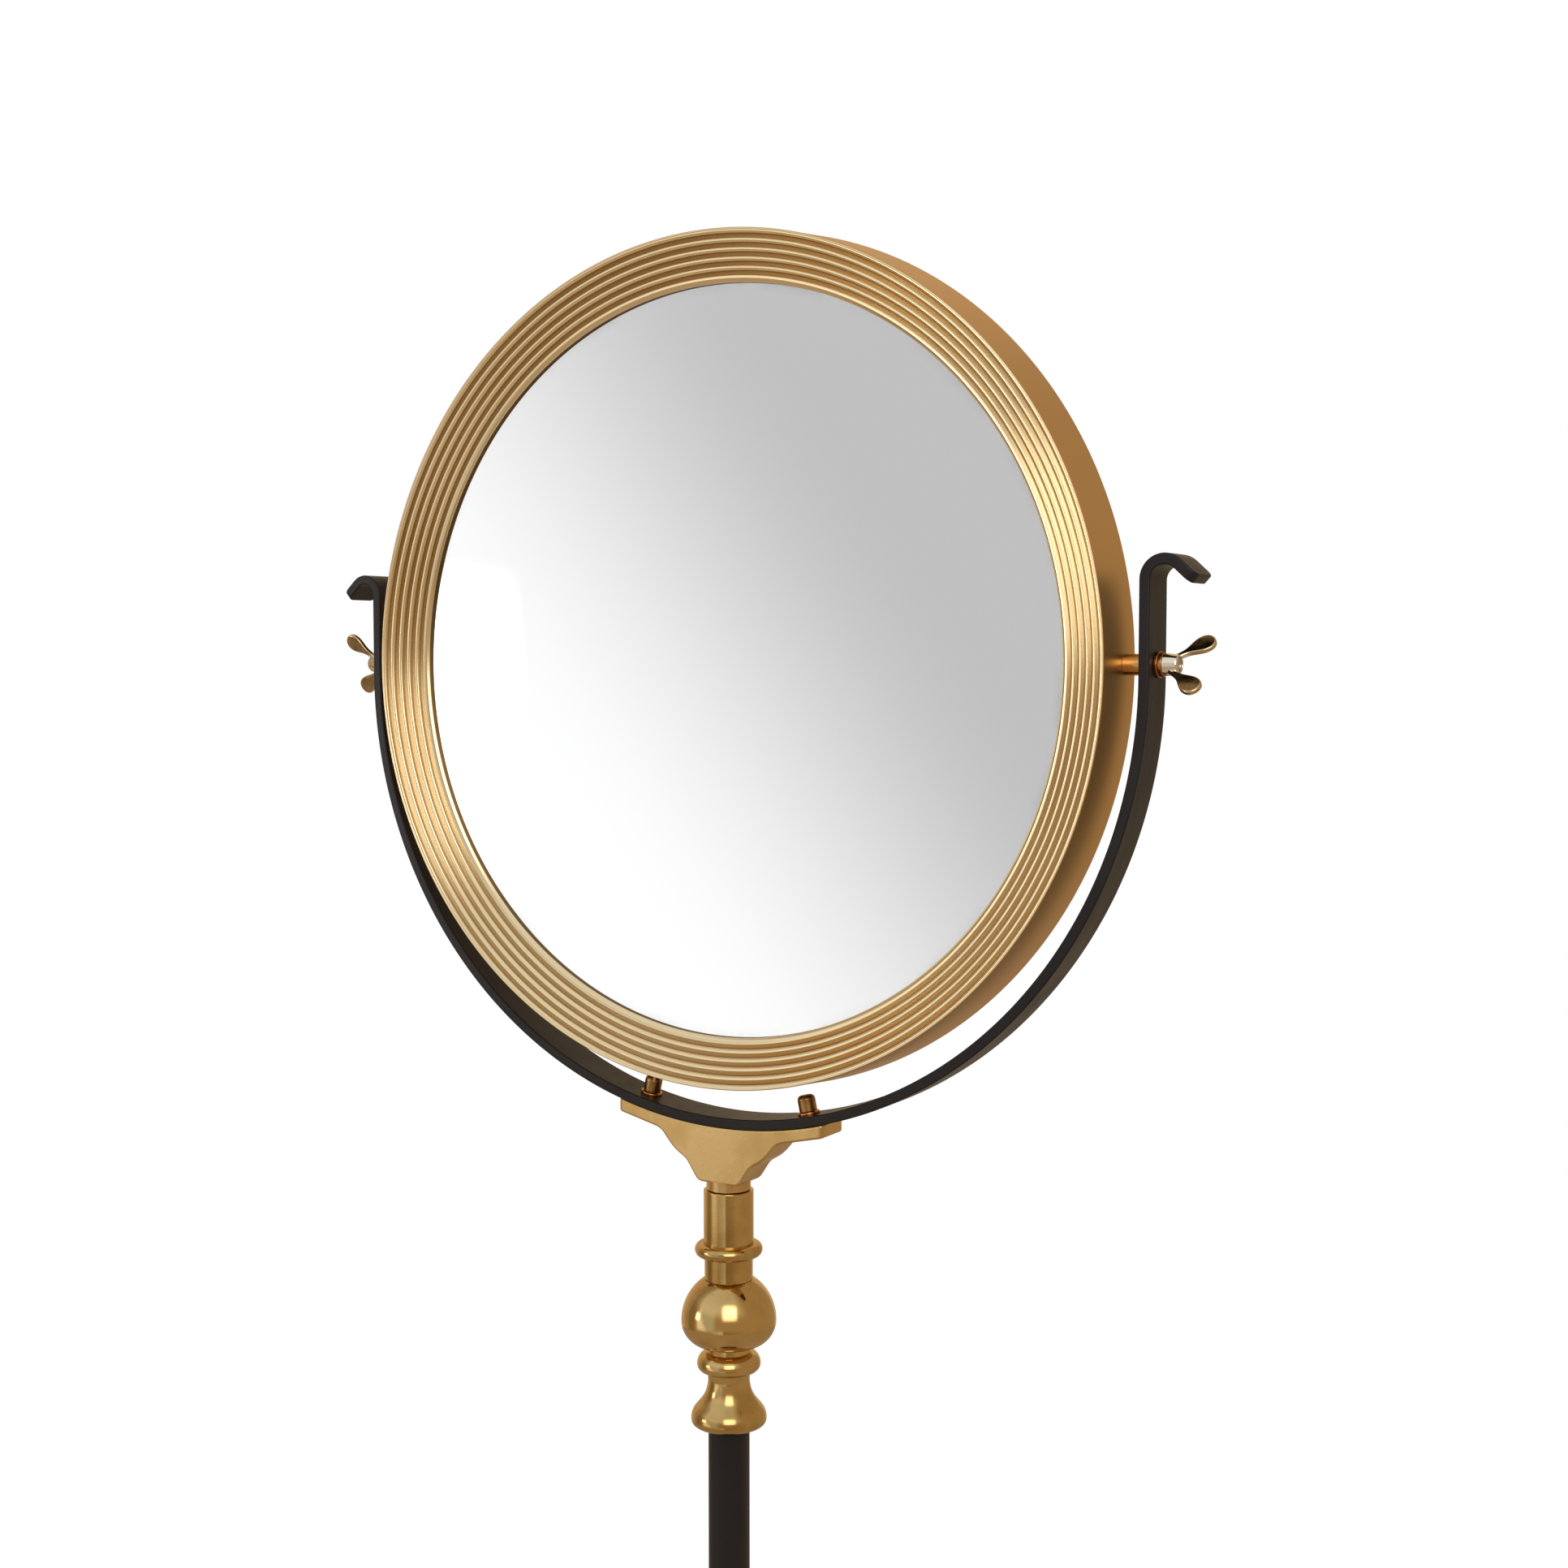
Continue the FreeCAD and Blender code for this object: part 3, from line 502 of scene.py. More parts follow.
def aged_brass(name, bright, dark, patchy, rough_low):
    """Small fittings: brass gone dark in patches and rubbed bright on the high spots."""
    f = Finish(name)
    at = f.place()
    patch = f.grain(at, 130.0, 4.0, 0.6)
    speck = f.grain(at, 900.0, 3.0)
    worn = f.node("ShaderNodeNewGeometry", outlet="Pointiness").step(0.5, 0.56)
    age = patch.step(0.4, 0.75) * (1 - worn * 0.8) * patchy
    base = f.blend(age, bright, dark)
    rough = rough_low + age * 0.14 + speck * 0.06
    normal = f.relief(patch * 0.6 + speck * 0.4, 0.00005)
    return f.coat(Base_Color=base, Metallic=1.0, Roughness=rough, Normal=normal)


def wing_brass():
    """Wing nuts: polished hub painted pale as a highlight, bronze blades, worn bright along the rims."""
    f = Finish("wing_brass")
    at = f.place(PIVOT)
    y, z = f.spread(at)[1:]
    out = (y * y + z * z) ** 0.5
    patch = f.grain(at, 160.0, 4.0, 0.6)
    speck = f.grain(at, 900.0, 3.0)
    worn = f.node("ShaderNodeNewGeometry", outlet="Pointiness").step(0.5, 0.55)
    blade = out.step(0.0062, 0.0085)
    base = f.blend(patch.step(0.35, 0.75), tone(172, 148, 104), tone(100, 82, 56))
    base = f.blend(worn * 0.85, base, tone(240, 214, 168))
    # Painted highlight: the hub near white, standing in for its bright reflection.
    hub = f.blend(patch.step(0.5, 0.8) * 0.4, tone(250, 240, 220), tone(214, 178, 120))
    base = f.blend(blade, hub, base)
    rough = 0.07 + patch.step(0.4, 0.8) * blade * 0.12 + speck * 0.05
    normal = f.relief(patch * 0.6 + speck * 0.4, 0.00004)
    return f.coat(Base_Color=base, Metallic=1.0, Roughness=rough, Normal=normal)


def black_paint():
    """Yoke and post: satin black over steel, with a fine spray texture."""
    f = Finish("black_paint")
    at = f.place()
    x, y, z = f.spread(at)
    spray = f.grain(at, 900.0, 2.0)
    cloud = f.grain(at, 22.0, 3.0)
    streak = f.grain(f.stretched(x * 60, y * 60, z * 4), 1.0, 3.0)
    base = f.blend(cloud.step(0.3, 0.7), tone(22, 18, 17), tone(29, 24, 23))
    rough = 0.34 + spray * 0.08 + streak.step(0.4, 0.8) * 0.08
    normal = f.relief(spray, 0.00006)
    return f.coat(Base_Color=base, Roughness=rough, Specular_IOR_Level=0.3, Normal=normal)


def black_iron():
    """Foot: cast iron under satin black, slightly pebbled."""
    f = Finish("black_iron")
    at = f.place()
    pebble = f.grain(at, 240.0, 4.0, 0.6)
    cloud = f.grain(at, 12.0, 3.0)
    base = f.blend(cloud.step(0.3, 0.7), tone(36, 33, 32), tone(46, 43, 42))
    rough = 0.42 + pebble * 0.14 + cloud * 0.06
    return f.coat(Base_Color=base, Roughness=rough, Normal=f.relief(pebble, 0.0003))


def silvered_glass():
    """Mirror: clear silver with a breath of haze towards the rim."""
    f = Finish("silvered_glass")
    at = f.place(PIVOT)
    x, z = f.spread(at)[::2]
    r = (x * x + z * z) ** 0.5
    haze = f.grain(at, 24.0, 5.0, 0.65)
    rim = r.step(0.214, 0.2255)
    base = f.blend(rim * haze.step(0.35, 0.75), tone(250, 251, 250), tone(214, 216, 212))
    return f.coat(Base_Color=base, Metallic=1.0, Roughness=0.0)


def fibre_board():
    """Back: pressed brown board with loose fibres."""
    f = Finish("fibre_board")
    at = f.place(PIVOT)
    x, y, z = f.spread(at)
    fibre = f.grain(f.stretched(x * 260, y * 600, z * 900), 1.0, 4.0, 0.65)
    cross = f.grain(f.stretched(x * 1000, y * 600, z * 240), 1.0, 3.0, 0.6)
    cloud = f.grain(at, 9.0, 4.0)
    base = f.blend(fibre.step(0.3, 0.7), tone(110, 79, 52), tone(142, 107, 74))
    base = f.blend(cross.step(0.6, 0.8) * 0.6, base, tone(168, 134, 98))
    base = f.blend(cloud.step(0.4, 0.9) * 0.15, base, tone(92, 64, 42))
    normal = f.relief(fibre * 0.5 + cross * 0.5, 0.0002)
    return f.coat(Base_Color=base, Roughness=0.7 + fibre * 0.15, Normal=normal)


def bare_steel():
    """Clips, screws and hidden rod: plain steel with rolling marks."""
    f = Finish("bare_steel")
    at = f.place()
    x, y, z = f.spread(at)
    mark = f.grain(f.stretched(x * 300, y * 300, z * 2000), 1.0, 3.0)
    cloud = f.grain(at, 80.0, 3.0)
    base = f.blend(cloud.step(0.35, 0.75), tone(196, 196, 194), tone(158, 157, 153))
    return f.coat(Base_Color=base, Metallic=1.0, Roughness=0.28 + mark * 0.14 + cloud * 0.08,
                  Normal=f.relief(mark, 0.00005))


def felt():
    """Underside: dark pressed wool."""
    f = Finish("felt")
    at = f.place()
    hair = f.grain(at, 1400.0, 4.0, 0.7)
    lump = f.grain(at, 160.0, 3.0)
    base = f.blend(hair.step(0.3, 0.7), tone(26, 26, 28), tone(58, 58, 60))
    return f.coat(Base_Color=base, Roughness=0.92 + hair * 0.06, Sheen_Weight=0.4,
                  Normal=f.relief(hair * 0.6 + lump * 0.4, 0.0006))


# Pieces of the mirror

def wall_r(y):
    """Outer radius of the ring's flared wall."""
    return RING_R + RING_FLARE * (y - RING_FRONT) / RING_DEPTH


def reeded_ring():
    """Brass ring: a dished face with five flutes between rounded arrises, a flared wall and a skirt
    round the glass."""
    run = (RING_R - LIP_R, RING_FRONT - LIP_Y)
    slope = math.hypot(*run)
    run = (run[0] / slope, run[1] / slope)

    def face(s, sink=0.0):
        return (LIP_R + run[0] * s - run[1] * sink, LIP_Y + run[1] * s + run[0] * sink)

    pitch = (slope - FACE_RIM - EDGE_RIM) / FLUTES
    half = ARRIS_W / 2
    pen = Pen("mirror_ring", mirror_section, (LIP_R, LIP_Y + LIP_ROUND))
    pen.arc((LIP_R + 0.06, LIP_Y + 0.06), face(LIP_ROUND), 4)
    pen.arc(face((FACE_RIM + half) / 2, -LIP_BEAD), face(FACE_RIM + half), 12)
    for k in range(FLUTES):
        foot = FACE_RIM + (k + 1) * pitch - half
        pen.to(face(foot - FLUTE_COVE, FLUTE_DROP), face(foot))
        if k < FLUTES - 1:
            pen.arc(face(foot + half, -ARRIS_BEAD), face(foot + ARRIS_W), 8)

    edge, back = RING_FRONT + EDGE_ROUND, RING_FRONT + RING_DEPTH
    rim, below = wall_r(back), back - BACK_ROUND
    mid = 0.3 * BACK_ROUND
    pen.arc(face(slope - EDGE_RIM, -EDGE_BEAD), face(slope - EDGE_ROUND), 8)
    pen.arc((RING_R - 0.28, RING_FRONT + 0.22), (wall_r(edge), edge), 6)
    pen.to(*((wall_r(y), y) for y in (*WALL_LOOPS, below)))
    pen.arc((rim - mid, back - mid), (rim - BACK_ROUND, back), 3)
    pen.to((rim - RING_WALL + BACK_ROUND, back))
    pen.arc((rim - RING_WALL + mid, back - mid), (wall_r(below) - RING_WALL, below), 3)
    pen.to(*((wall_r(y) - RING_WALL, y) for y in reversed(WALL_LOOPS)))

    mid = 0.3 * SKIRT_ROUND
    pen.to((HOLLOW_R, HOLLOW_Y), (SKIRT_R, SKIRT_ROOT_Y), (SKIRT_R, CLIP_Y - SKIRT_ROUND))
    pen.arc((SKIRT_R - mid, CLIP_Y - mid), (SKIRT_R - SKIRT_ROUND, CLIP_Y), 3)
    pen.to((POCKET_R + SKIRT_ROUND, CLIP_Y))
    pen.arc((POCKET_R + mid, CLIP_Y - mid), (POCKET_R, CLIP_Y - SKIRT_ROUND), 3)
    pen.to((POCKET_R, GLASS_Y), (LIP_R, GLASS_Y))
    ring = pen.turned(MIRROR_AXIS, 320)
    for side in (-1, 1):
        for radius, depth in ((BOLT_HOLE_R, 262), (SPOT_FACE_R, BOLT_SEAT_X)):
            hole = drill(radius, (side * 240, 0, PIVOT_H), (side * depth, 0, PIVOT_H))
            ring = joined(ring, hole, "DIFFERENCE")
    return ring


def disc(name, radius, front, back, ease):
    """Flat round sheet with eased edges, facing the viewer."""
    mid = ease * MID_ROUND
    pen = Pen(name, mirror_section, (0, front))
    pen.to((radius - 4, front), (radius - ease, front))
    pen.arc((radius - mid, front + mid), (radius, front + ease), 3)
    pen.to((radius, back - ease))
    pen.arc((radius - mid, back - mid), (radius - ease, back), 3)
    pen.to((radius - 4, back), (0, back))
    return pen.turned(MIRROR_AXIS, 192, closed=False)


def back_clip_set():
    """Eight spring clips with rounded ends, each laid over the board's edge."""
    low, high = PIVOT_H + CLIP_IN_R, PIVOT_H + SKIRT_R
    clip = block("clip", (-CLIP_HALF_W, CLIP_Y, low), (CLIP_HALF_W, CLIP_Y + CLIP_T, high))

    def upright(a, b):
        return abs(a.x - b.x) < 0.01 and abs(a.z - b.z) < 0.01

    edges_where(clip, lambda a, b: upright(a, b) and a.z < low + 1)
    bpy.ops.mesh.bevel(offset=0.0035, segments=6, affect="EDGES")
    edges_where(clip, lambda a, b: upright(a, b) and a.z > high - 1)
    bpy.ops.mesh.bevel(offset=0.0015, segments=4, affect="EDGES")
    return round_of_clips(close_up(eased(clip, 0.25, 2, 50)), "spring_clips")


def back_screw_set():
    """Eight round-head screws with a slot."""
    foot, top = CLIP_Y + CLIP_T, CLIP_Y + 2.8
    middle = PIVOT_H + CLIP_SCREW_R
    pen = Pen("screw", lambda r, y: spot(r, y, middle), (0, foot - 7.0))
    pen.to((1.45, foot - 7.0), (1.45, foot), (2.9, foot), (3.0, foot + 0.3))
    pen.arc((2.3, top - 0.35), (0.8, top), 8)
    pen.to((0, top))
    screw = pen.turned((spot(0, 0, middle), (0, 1, 0)), 32, closed=False)
    slot = block("slot", (-4, top - 0.8, middle - 0.35), (4, top + 1, middle + 0.35))
    return round_of_clips(joined(screw, slot, "DIFFERENCE"), "round_head_screws")


# Pieces of the tilt pivots, made for the right-hand side

def washer(name, radius, x0, x1, ease=0.4):
    """Turned washer or sleeve on the pivot bolt, with eased rims."""
    mid = ease * MID_ROUND
    pen = Pen(name, tilt_section, (BOLT_HOLE_R, x0))
    pen.to((radius - ease, x0))
    pen.arc((radius - mid, x0 + mid), (radius, x0 + ease), 4)
    pen.to((radius, x1 - ease))
    pen.arc((radius - mid, x1 - mid), (radius - ease, x1), 4)
    pen.to((BOLT_HOLE_R, x1))
    return pen.turned(TILT_AXIS, 64)


def spring_washer(name):
    """Split ring of square wire."""
    piece = washer(name, LOCK_WASHER_R, LOCK_X, NUT_X, 0.35)
    half = LOCK_SPLIT / 2
    split = block("split", (LOCK_X - 1, -half, PIVOT_H), (NUT_X + 1, half, PIVOT_H + 9))
    return joined(piece, split, "DIFFERENCE")


def hex_bolt(name):
    """Pivot bolt with a chamfered hexagon head inside the ring."""
    head, end = BOLT_SEAT_X - BOLT_HEAD_H, NUT_TOP_X - 1
    bolt = named(added(
        bpy.ops.mesh.primitive_cylinder_add, vertices=6, radius=BOLT_HEAD_AF / 1000 / math.sqrt(3),
        depth=BOLT_HEAD_H / 1000, location=spot(BOLT_SEAT_X - BOLT_HEAD_H / 2, 0, PIVOT_H),
        rotation=(0, math.pi / 2, 0)), name)
    pen = Pen("chamfer", tilt_section, (0, head))
    pen.to((6.3, head), (8.0, head + 1), (8.0, BOLT_SEAT_X), (0, BOLT_SEAT_X))
    bolt = joined(bolt, pen.turned(TILT_AXIS, 48, closed=False), "INTERSECT")
    pen = Pen("shank", tilt_section, (0, BOLT_SEAT_X - 1))
    pen.to((BOLT_R, BOLT_SEAT_X - 1), (BOLT_R, end - 0.6), (BOLT_R - 0.6, end), (0, end))
    return joined(bolt, pen.turned(TILT_AXIS, 48, closed=False), "UNION")


def wing():
    """One wing: slim stem that swells to a long rounded blade, its edges rounded over."""
    def place(s, t):
        return spot(WING_ROOT_X + WING_COS * s - WING_SIN * t, -WING_T / 2,
                    PIVOT_H + WING_ROOT_R + WING_SIN * s + WING_COS * t)

    pen = Pen("wing", place, (-1.5, 1.8))
    pen.curve([(3.0, 1.6), (6.0, 1.4), (9.0, 2.8)], 6)
    pen.curve([(12.5, 4.4), (14.5, 5.7), (17.6, 5.6)], 7)
    pen.curve([(21.0, 5.5), (23.2, 3.2), (23.2, 0)], 8)
    pen.curve([(23.2, -3.2), (21.0, -5.5), (17.6, -5.6)], 8)
    pen.curve([(14.5, -5.7), (12.5, -4.4), (9.0, -2.8)], 7)
    pen.curve([(6.0, -1.4), (3.0, -1.6), (-1.5, -1.8)], 6)
    piece = pen.plate(spot(0, WING_T, 0))
    return close_up(eased(piece, 0.9, 4, 60), 40)


def wing_nut(name, turn):
    """Domed hub with two wings, bored through and turned to its place about the bolt."""
    pen = Pen(name, tilt_section, (0, NUT_X))
    pen.to((5.8, NUT_X))
    pen.arc((6.08, NUT_X + 0.12), (6.2, NUT_X + 0.4), 3)
    pen.to((5.4, NUT_X + 6.8))
    pen.arc((4.97, NUT_X + 7.93), (4.3, NUT_TOP_X), 5)
    pen.to((0, NUT_TOP_X))
    nut = pen.turned(TILT_AXIS, 64, closed=False)
    for half_turn in (0, math.pi):
        nut = joined(nut, spun(wing(), half_turn, "X"), "UNION")
    bore = drill(BOLT_HOLE_R, (NUT_X - 5, 0, PIVOT_H), (NUT_X + 30, 0, PIVOT_H))
    nut = joined(nut, bore, "DIFFERENCE")
    return close_up(spun(nut, math.radians(turn), "X"), 40)


# Pieces of the yoke

def flat_bar_yoke():
    """Black flat bar: half drawn from the middle round to the hook, then mirrored."""
    mid = YOKE_Z - ARM_X - BAR_T / 2
    bar = named(added(bpy.ops.mesh.primitive_plane_add, (BAR_T / 1000, BAR_W / 1000, 1), size=1,
                      location=spot(0, 0, mid), rotation=(0, math.pi / 2, 0)), "yoke")
    edit_all(bar)
    bpy.ops.mesh.spin(steps=88, angle=math.pi / 2, center=spot(0, 0, YOKE_Z), axis=(0, 1, 0))
    for rise in (PIVOT_H - YOKE_Z, HOOK_Z - PIVOT_H):
        bpy.ops.mesh.extrude_region_move(TRANSFORM_OT_translate={"value": spot(0, 0, rise)})
    turn = math.radians(HOOK_TURN)
    bpy.ops.mesh.spin(steps=30, angle=-turn, center=spot(HOOK_X, 0, HOOK_Z), axis=(0, 1, 0))
    end = Vector((math.sin(turn), 0, math.cos(turn)))
    bpy.ops.mesh.extrude_region_move(TRANSFORM_OT_translate={"value": end * HOOK_TAIL / 1000})
    tip = max(end.dot(v.co) for v in take(bar).data.vertices if v.co.x > 0.28) * 1000

    def is_end_corner(a, b):
        at_end = min(end.dot(a), end.dot(b)) > tip - 0.01
        return at_end and abs(a.y - b.y) < 0.01 and min(a.x, b.x) > 280

    edges_where(bar, is_end_corner)
    bpy.ops.mesh.bevel(offset=HOOK_CORNER / 1000, segments=8, affect="EDGES")
    bpy.ops.mesh.select_mode(type="FACE")
    bpy.ops.mesh.select_all(action="DESELECT")
    bpy.ops.object.mode_set(mode="OBJECT")
    for face in bar.data.polygons:
        face.select = abs(face.center.x) < 1e-6
    bpy.ops.object.mode_set(mode="EDIT")
    bpy.ops.mesh.delete(type="FACE")
    apply(bar, "MIRROR", merge_threshold=1e-5)
    eased(close_up(bar), BAR_EDGE, 3, 50)
    for side in (-1, 1):
        bore = drill(BOLT_HOLE_R, (side * 255, 0, PIVOT_H), (side * 280, 0, PIVOT_H))
        bar = joined(bar, bore, "DIFFERENCE")
    return close_up(bar)


def screw_axis(side):
    """Foot and direction of a yoke screw, square to the bar's inner face."""
    lean = math.asin(SCREW_X / ARM_X)
    foot = spot(side * SCREW_X, 0, YOKE_Z - ARM_X * math.cos(lean))
    return foot, Vector((-side * math.sin(lean), 0, math.cos(lean)))


def yoke_screw(name, foot, up):
    """Tall domed screw head with a slot and its shank in the bracket."""
    across = Vector((up.z, 0, -up.x))
    pen = Pen(name, lambda r, h: foot + (across * r + up * h) / 1000, (0, SCREW_FOOT))
    pen.to((2.6, SCREW_FOOT), (SCREW_R, SCREW_FOOT + 0.6), (SCREW_R, SCREW_SEAT))
    pen.to((5.0, SCREW_SEAT), (SCREW_HEAD_R, SCREW_SEAT + 0.3), (SCREW_HEAD_R, SCREW_DOME))
    pen.arc((4.55, 10.75), (2.6, SCREW_TOP), 8)
    pen.to((0, SCREW_TOP))
    screw = pen.turned((foot, up), 48, closed=False)
    turn = math.radians(SLOT_TURN_RIGHT if foot.x > 0 else SLOT_TURN_LEFT)
    along = across * math.cos(turn) + Vector((0, math.sin(turn), 0))
    slot = block("slot", (-8, -SLOT_HALF_W, SCREW_DOME), (8, SLOT_HALF_W, 14))
    slot.rotation_euler = Matrix((along, up.cross(along), up)).transposed().to_euler()
    slot.location = foot
    take(slot)
    bpy.ops.object.transform_apply()
    return close_up(eased(joined(screw, slot, "DIFFERENCE"), 0.2, 2, 60))


def screw_collar(name, foot, up):
    """Turned collar under a screw head."""
    across = Vector((up.z, 0, -up.x))
    pen = Pen(name, lambda r, h: foot + (across * r + up * h) / 1000, (SCREW_HOLE_R, 0))
    pen.to((6.6, 0), (COLLAR_R, 0.3), (COLLAR_R, 1.1))
    pen.arc((6.35, 1.75), (5.7, SCREW_SEAT), 5)
    pen.to((SCREW_HOLE_R, SCREW_SEAT))
    return pen.turned((foot, up), 48)


def pair(make, name):
    """Left and right copies of a yoke fitting as one mesh."""
    left, right = (make(name, *screw_axis(side)) for side in (-1, 1))
    take(left)
    right.select_set(True)
    bpy.ops.object.join()
    return named(left, name)


def saddle():
    """Brass saddle under the yoke: thin wings, a soft ledge each side, a stem, a neck and the swivel spigot."""
    wing_top = YOKE_Z - math.sqrt(ARM_OUT_X ** 2 - SADDLE_HALF_L ** 2)
    corner = (SADDLE_HALF_L, SADDLE_Z - wing_top)

    def place(x, drop):
        return spot(x, -SADDLE_W / 2, SADDLE_Z - drop)

    legs = [
        [(SADDLE_HALF_L, -1.7)],
        [(46.0, 4.4)],
        [(43.0, 5.1), (40.6, 6.6), (39.0, 8.6)],
        [(36.0, 12.2), (34.0, 14.4), (32.4, 15.8)],
        [(30.9, 17.1), (29.6, 18.0), (28.0, 19.0)],
        [(26.0, 20.2), (23.6, 21.4), (22.0, 23.4)],
        [(16.6, 31.3)],
        [(14.9, 33.8), (13.2, 34.4), (10.5, 34.4)],
    ]
    pen = Pen("saddle", place, corner)
    for leg in legs:
        pen.curve(leg, 1 if len(leg) == 1 else 6)
    ends = [corner] + [leg[-1] for leg in legs]
    pen.to((-ends[-1][0], ends[-1][1]))
    for start, leg in reversed(list(zip(ends, legs))):
        back = [(-x, drop) for x, drop in reversed(leg[:-1])] + [(-start[0], start[1])]
        pen.curve(back, 1 if len(leg) == 1 else 6)
    pen.arc((0, 0), corner, 60)
    piece = pen.plate(spot(0, SADDLE_W, 0))

    def is_wing_end(a, b):
        return abs(a.x - b.x) + abs(a.y - b.y) < 0.01 and abs(abs(a.x) - SADDLE_HALF_L) < 0.01

    edges_where(piece, is_wing_end)
    bpy.ops.mesh.bevel(offset=0.002, segments=5, affect="EDGES")
    close_up(eased(piece, SADDLE_EDGE, 4, 38))
    root, tip = SADDLE_Z - 33.4, SHOULDER_Z - SPIGOT_L
    pen = Pen("neck", post_section, (0, root))
    pen.to((NECK_R, root), (NECK_R, SHOULDER_Z + 0.4), (NECK_R - 0.4, SHOULDER_Z), (SPIGOT_R, SHOULDER_Z))
    pen.to((SPIGOT_R, tip + 0.5), (SPIGOT_R - 0.5, tip), (0, tip))
    return joined(piece, pen.turned(POST_AXIS, 96, closed=False), "UNION")


# Pieces of the stand

def sleeve():
    """Column top: sleeve, half-round ring and collet."""
    floor_z, socket_z = SLEEVE_Z - SLEEVE_BORE_L, BALL_TOP_Z + ROD_SOCKET_L
    pen = Pen("sleeve", post_section, (SLEEVE_BORE_R, floor_z))
    pen.to((SLEEVE_BORE_R, SLEEVE_Z - 0.3))
    pen.arc((SLEEVE_BORE_R + 0.09, SLEEVE_Z - 0.09), (SLEEVE_BORE_R + 0.3, SLEEVE_Z), 3)
    pen.to((SLEEVE_R - 0.6, SLEEVE_Z))
    pen.arc((SLEEVE_R - 0.17, SLEEVE_Z - 0.17), (SLEEVE_R, SLEEVE_Z - 0.6), 4)
    pen.to((SLEEVE_R, MOULD_Z + 8), (SLEEVE_R, MOULD_Z))
    pen.arc((MOULD_R, (MOULD_Z + COLLET_Z) / 2), (COLLET_R, COLLET_Z), 28)
    pen.to((COLLET_R, BALL_TOP_Z + 0.3))
    pen.arc((COLLET_R - 0.09, BALL_TOP_Z + 0.09), (COLLET_R - 0.3, BALL_TOP_Z), 3)
    pen.to((ROD_SOCKET_R, BALL_TOP_Z), (ROD_SOCKET_R, socket_z), (0, socket_z), (0, floor_z))
    return pen.turned(POST_AXIS, 128)


def swell(widest, end):
    """Middle of the arc that leaves the widest point upright and runs in to the end."""
    inward, climb = widest[0] - end[0], end[1] - widest[1]
    radius = (inward ** 2 + climb ** 2) / (2 * inward)
    half = math.atan2(climb, radius - inward) / 2
    return widest[0] - radius * (1 - math.cos(half)), widest[1] + radius * math.sin(half)


def ball():
    """Ball knop between the collet and the bead, flatter below its widest part."""
    top, widest, under = (15.2, BALL_TOP_Z), (BALL_R, BALL_Z), (13.6, BALL_FOOT_Z)
    pen = Pen("ball", post_section, (ROD_HOLE_R, BALL_TOP_Z))
    pen.to(top)
    pen.arc(swell(widest, top), widest, 28)
    pen.arc(swell(widest, under), under, 28)
    pen.to((ROD_HOLE_R, BALL_FOOT_Z))
    return pen.turned(POST_AXIS, 128)


def bell():
    """Neck, bead, waist and bell over the top of the post."""
    root, widest, under = (BEAD_NECK_R, BEAD_TOP_Z), (BEAD_R, BEAD_Z), (14.1, BEAD_FOOT_Z)
    pen = Pen("bell", post_section, (ROD_HOLE_R, BALL_FOOT_Z))
    pen.to((BEAD_NECK_R, BALL_FOOT_Z), root)
    pen.arc(swell(widest, root), widest, 14)
    pen.arc(swell(widest, under), under, 14)
    pen.to((WAIST_R, WAIST_Z))
    pen.curve([(WAIST_R, WAIST_Z - 16.9), (BELL_R, BELL_Z + 9.4), (BELL_R, BELL_Z)], 26)
    pen.curve([(BELL_R, BELL_FOOT_Z), (19.1, BELL_FOOT_Z)], 10)
    pen.to((POST_SEAT_R, BELL_FOOT_Z), (POST_SEAT_R, POST_TOP_Z), (ROD_HOLE_R, POST_TOP_Z))
    return pen.turned(POST_AXIS, 128)


def post():
    """Black tube."""
    pen = Pen("post", post_section, (POST_BORE_R, POST_FOOT_Z))
    pen.to(*((POST_R, z) for z in (POST_FOOT_Z, 200, 600, POST_TOP_Z - 0.4)))
    pen.to((POST_R - 0.4, POST_TOP_Z), (POST_BORE_R, POST_TOP_Z))
    return pen.turned(POST_AXIS, 96)


def collar():
    """Brass collar where the post meets the foot."""
    rim = BASE_TOP_Z + FOOT_RING_T
    bead, top = BASE_TOP_Z + 26, BASE_TOP_Z + 36
    pen = Pen("collar", post_section, (POST_SEAT_R, BASE_TOP_Z))
    pen.to((FOOT_RING_R - 0.4, BASE_TOP_Z), (FOOT_RING_R, BASE_TOP_Z + 0.4), (FOOT_RING_R, rim - 0.8))
    pen.arc((FOOT_RING_R - 0.23, rim - 0.23), (FOOT_RING_R - 0.8, rim), 4)
    pen.curve([(FOOT_NECK_R, rim), (FOOT_NECK_R, bead)], 18)
    pen.arc((19.5, BASE_TOP_Z + 31), (FOOT_NECK_R, top), 16)
    pen.to((POST_SEAT_R, top))
    return pen.turned(POST_AXIS, 128)


def foot():
    """Round weighted foot with a low domed top."""
    pen = Pen("foot", post_section, (NUT_ROOM_R, BASE_FOOT_Z))
    pen.to((BASE_R - 0.8, BASE_FOOT_Z))
    pen.arc((BASE_R - 0.23, BASE_FOOT_Z + 0.23), (BASE_R, BASE_FOOT_Z + 0.8), 4)
    pen.to((BASE_R, BASE_EDGE_Z - 4))
    pen.curve([(BASE_R, BASE_EDGE_Z), (BASE_R - 4, BASE_EDGE_Z)], 8)
    pen.curve([(110.0, BASE_EDGE_Z), (110.0, BASE_TOP_Z), (44.0, BASE_TOP_Z)], 28)
    pen.to((POST_SEAT_R, BASE_TOP_Z), (POST_SEAT_R, POST_FOOT_Z), (ROD_HOLE_R, POST_FOOT_Z))
    pen.to((ROD_HOLE_R, NUT_ROOM_Z), (NUT_ROOM_R, NUT_ROOM_Z))
    return pen.turned(POST_AXIS, 192)


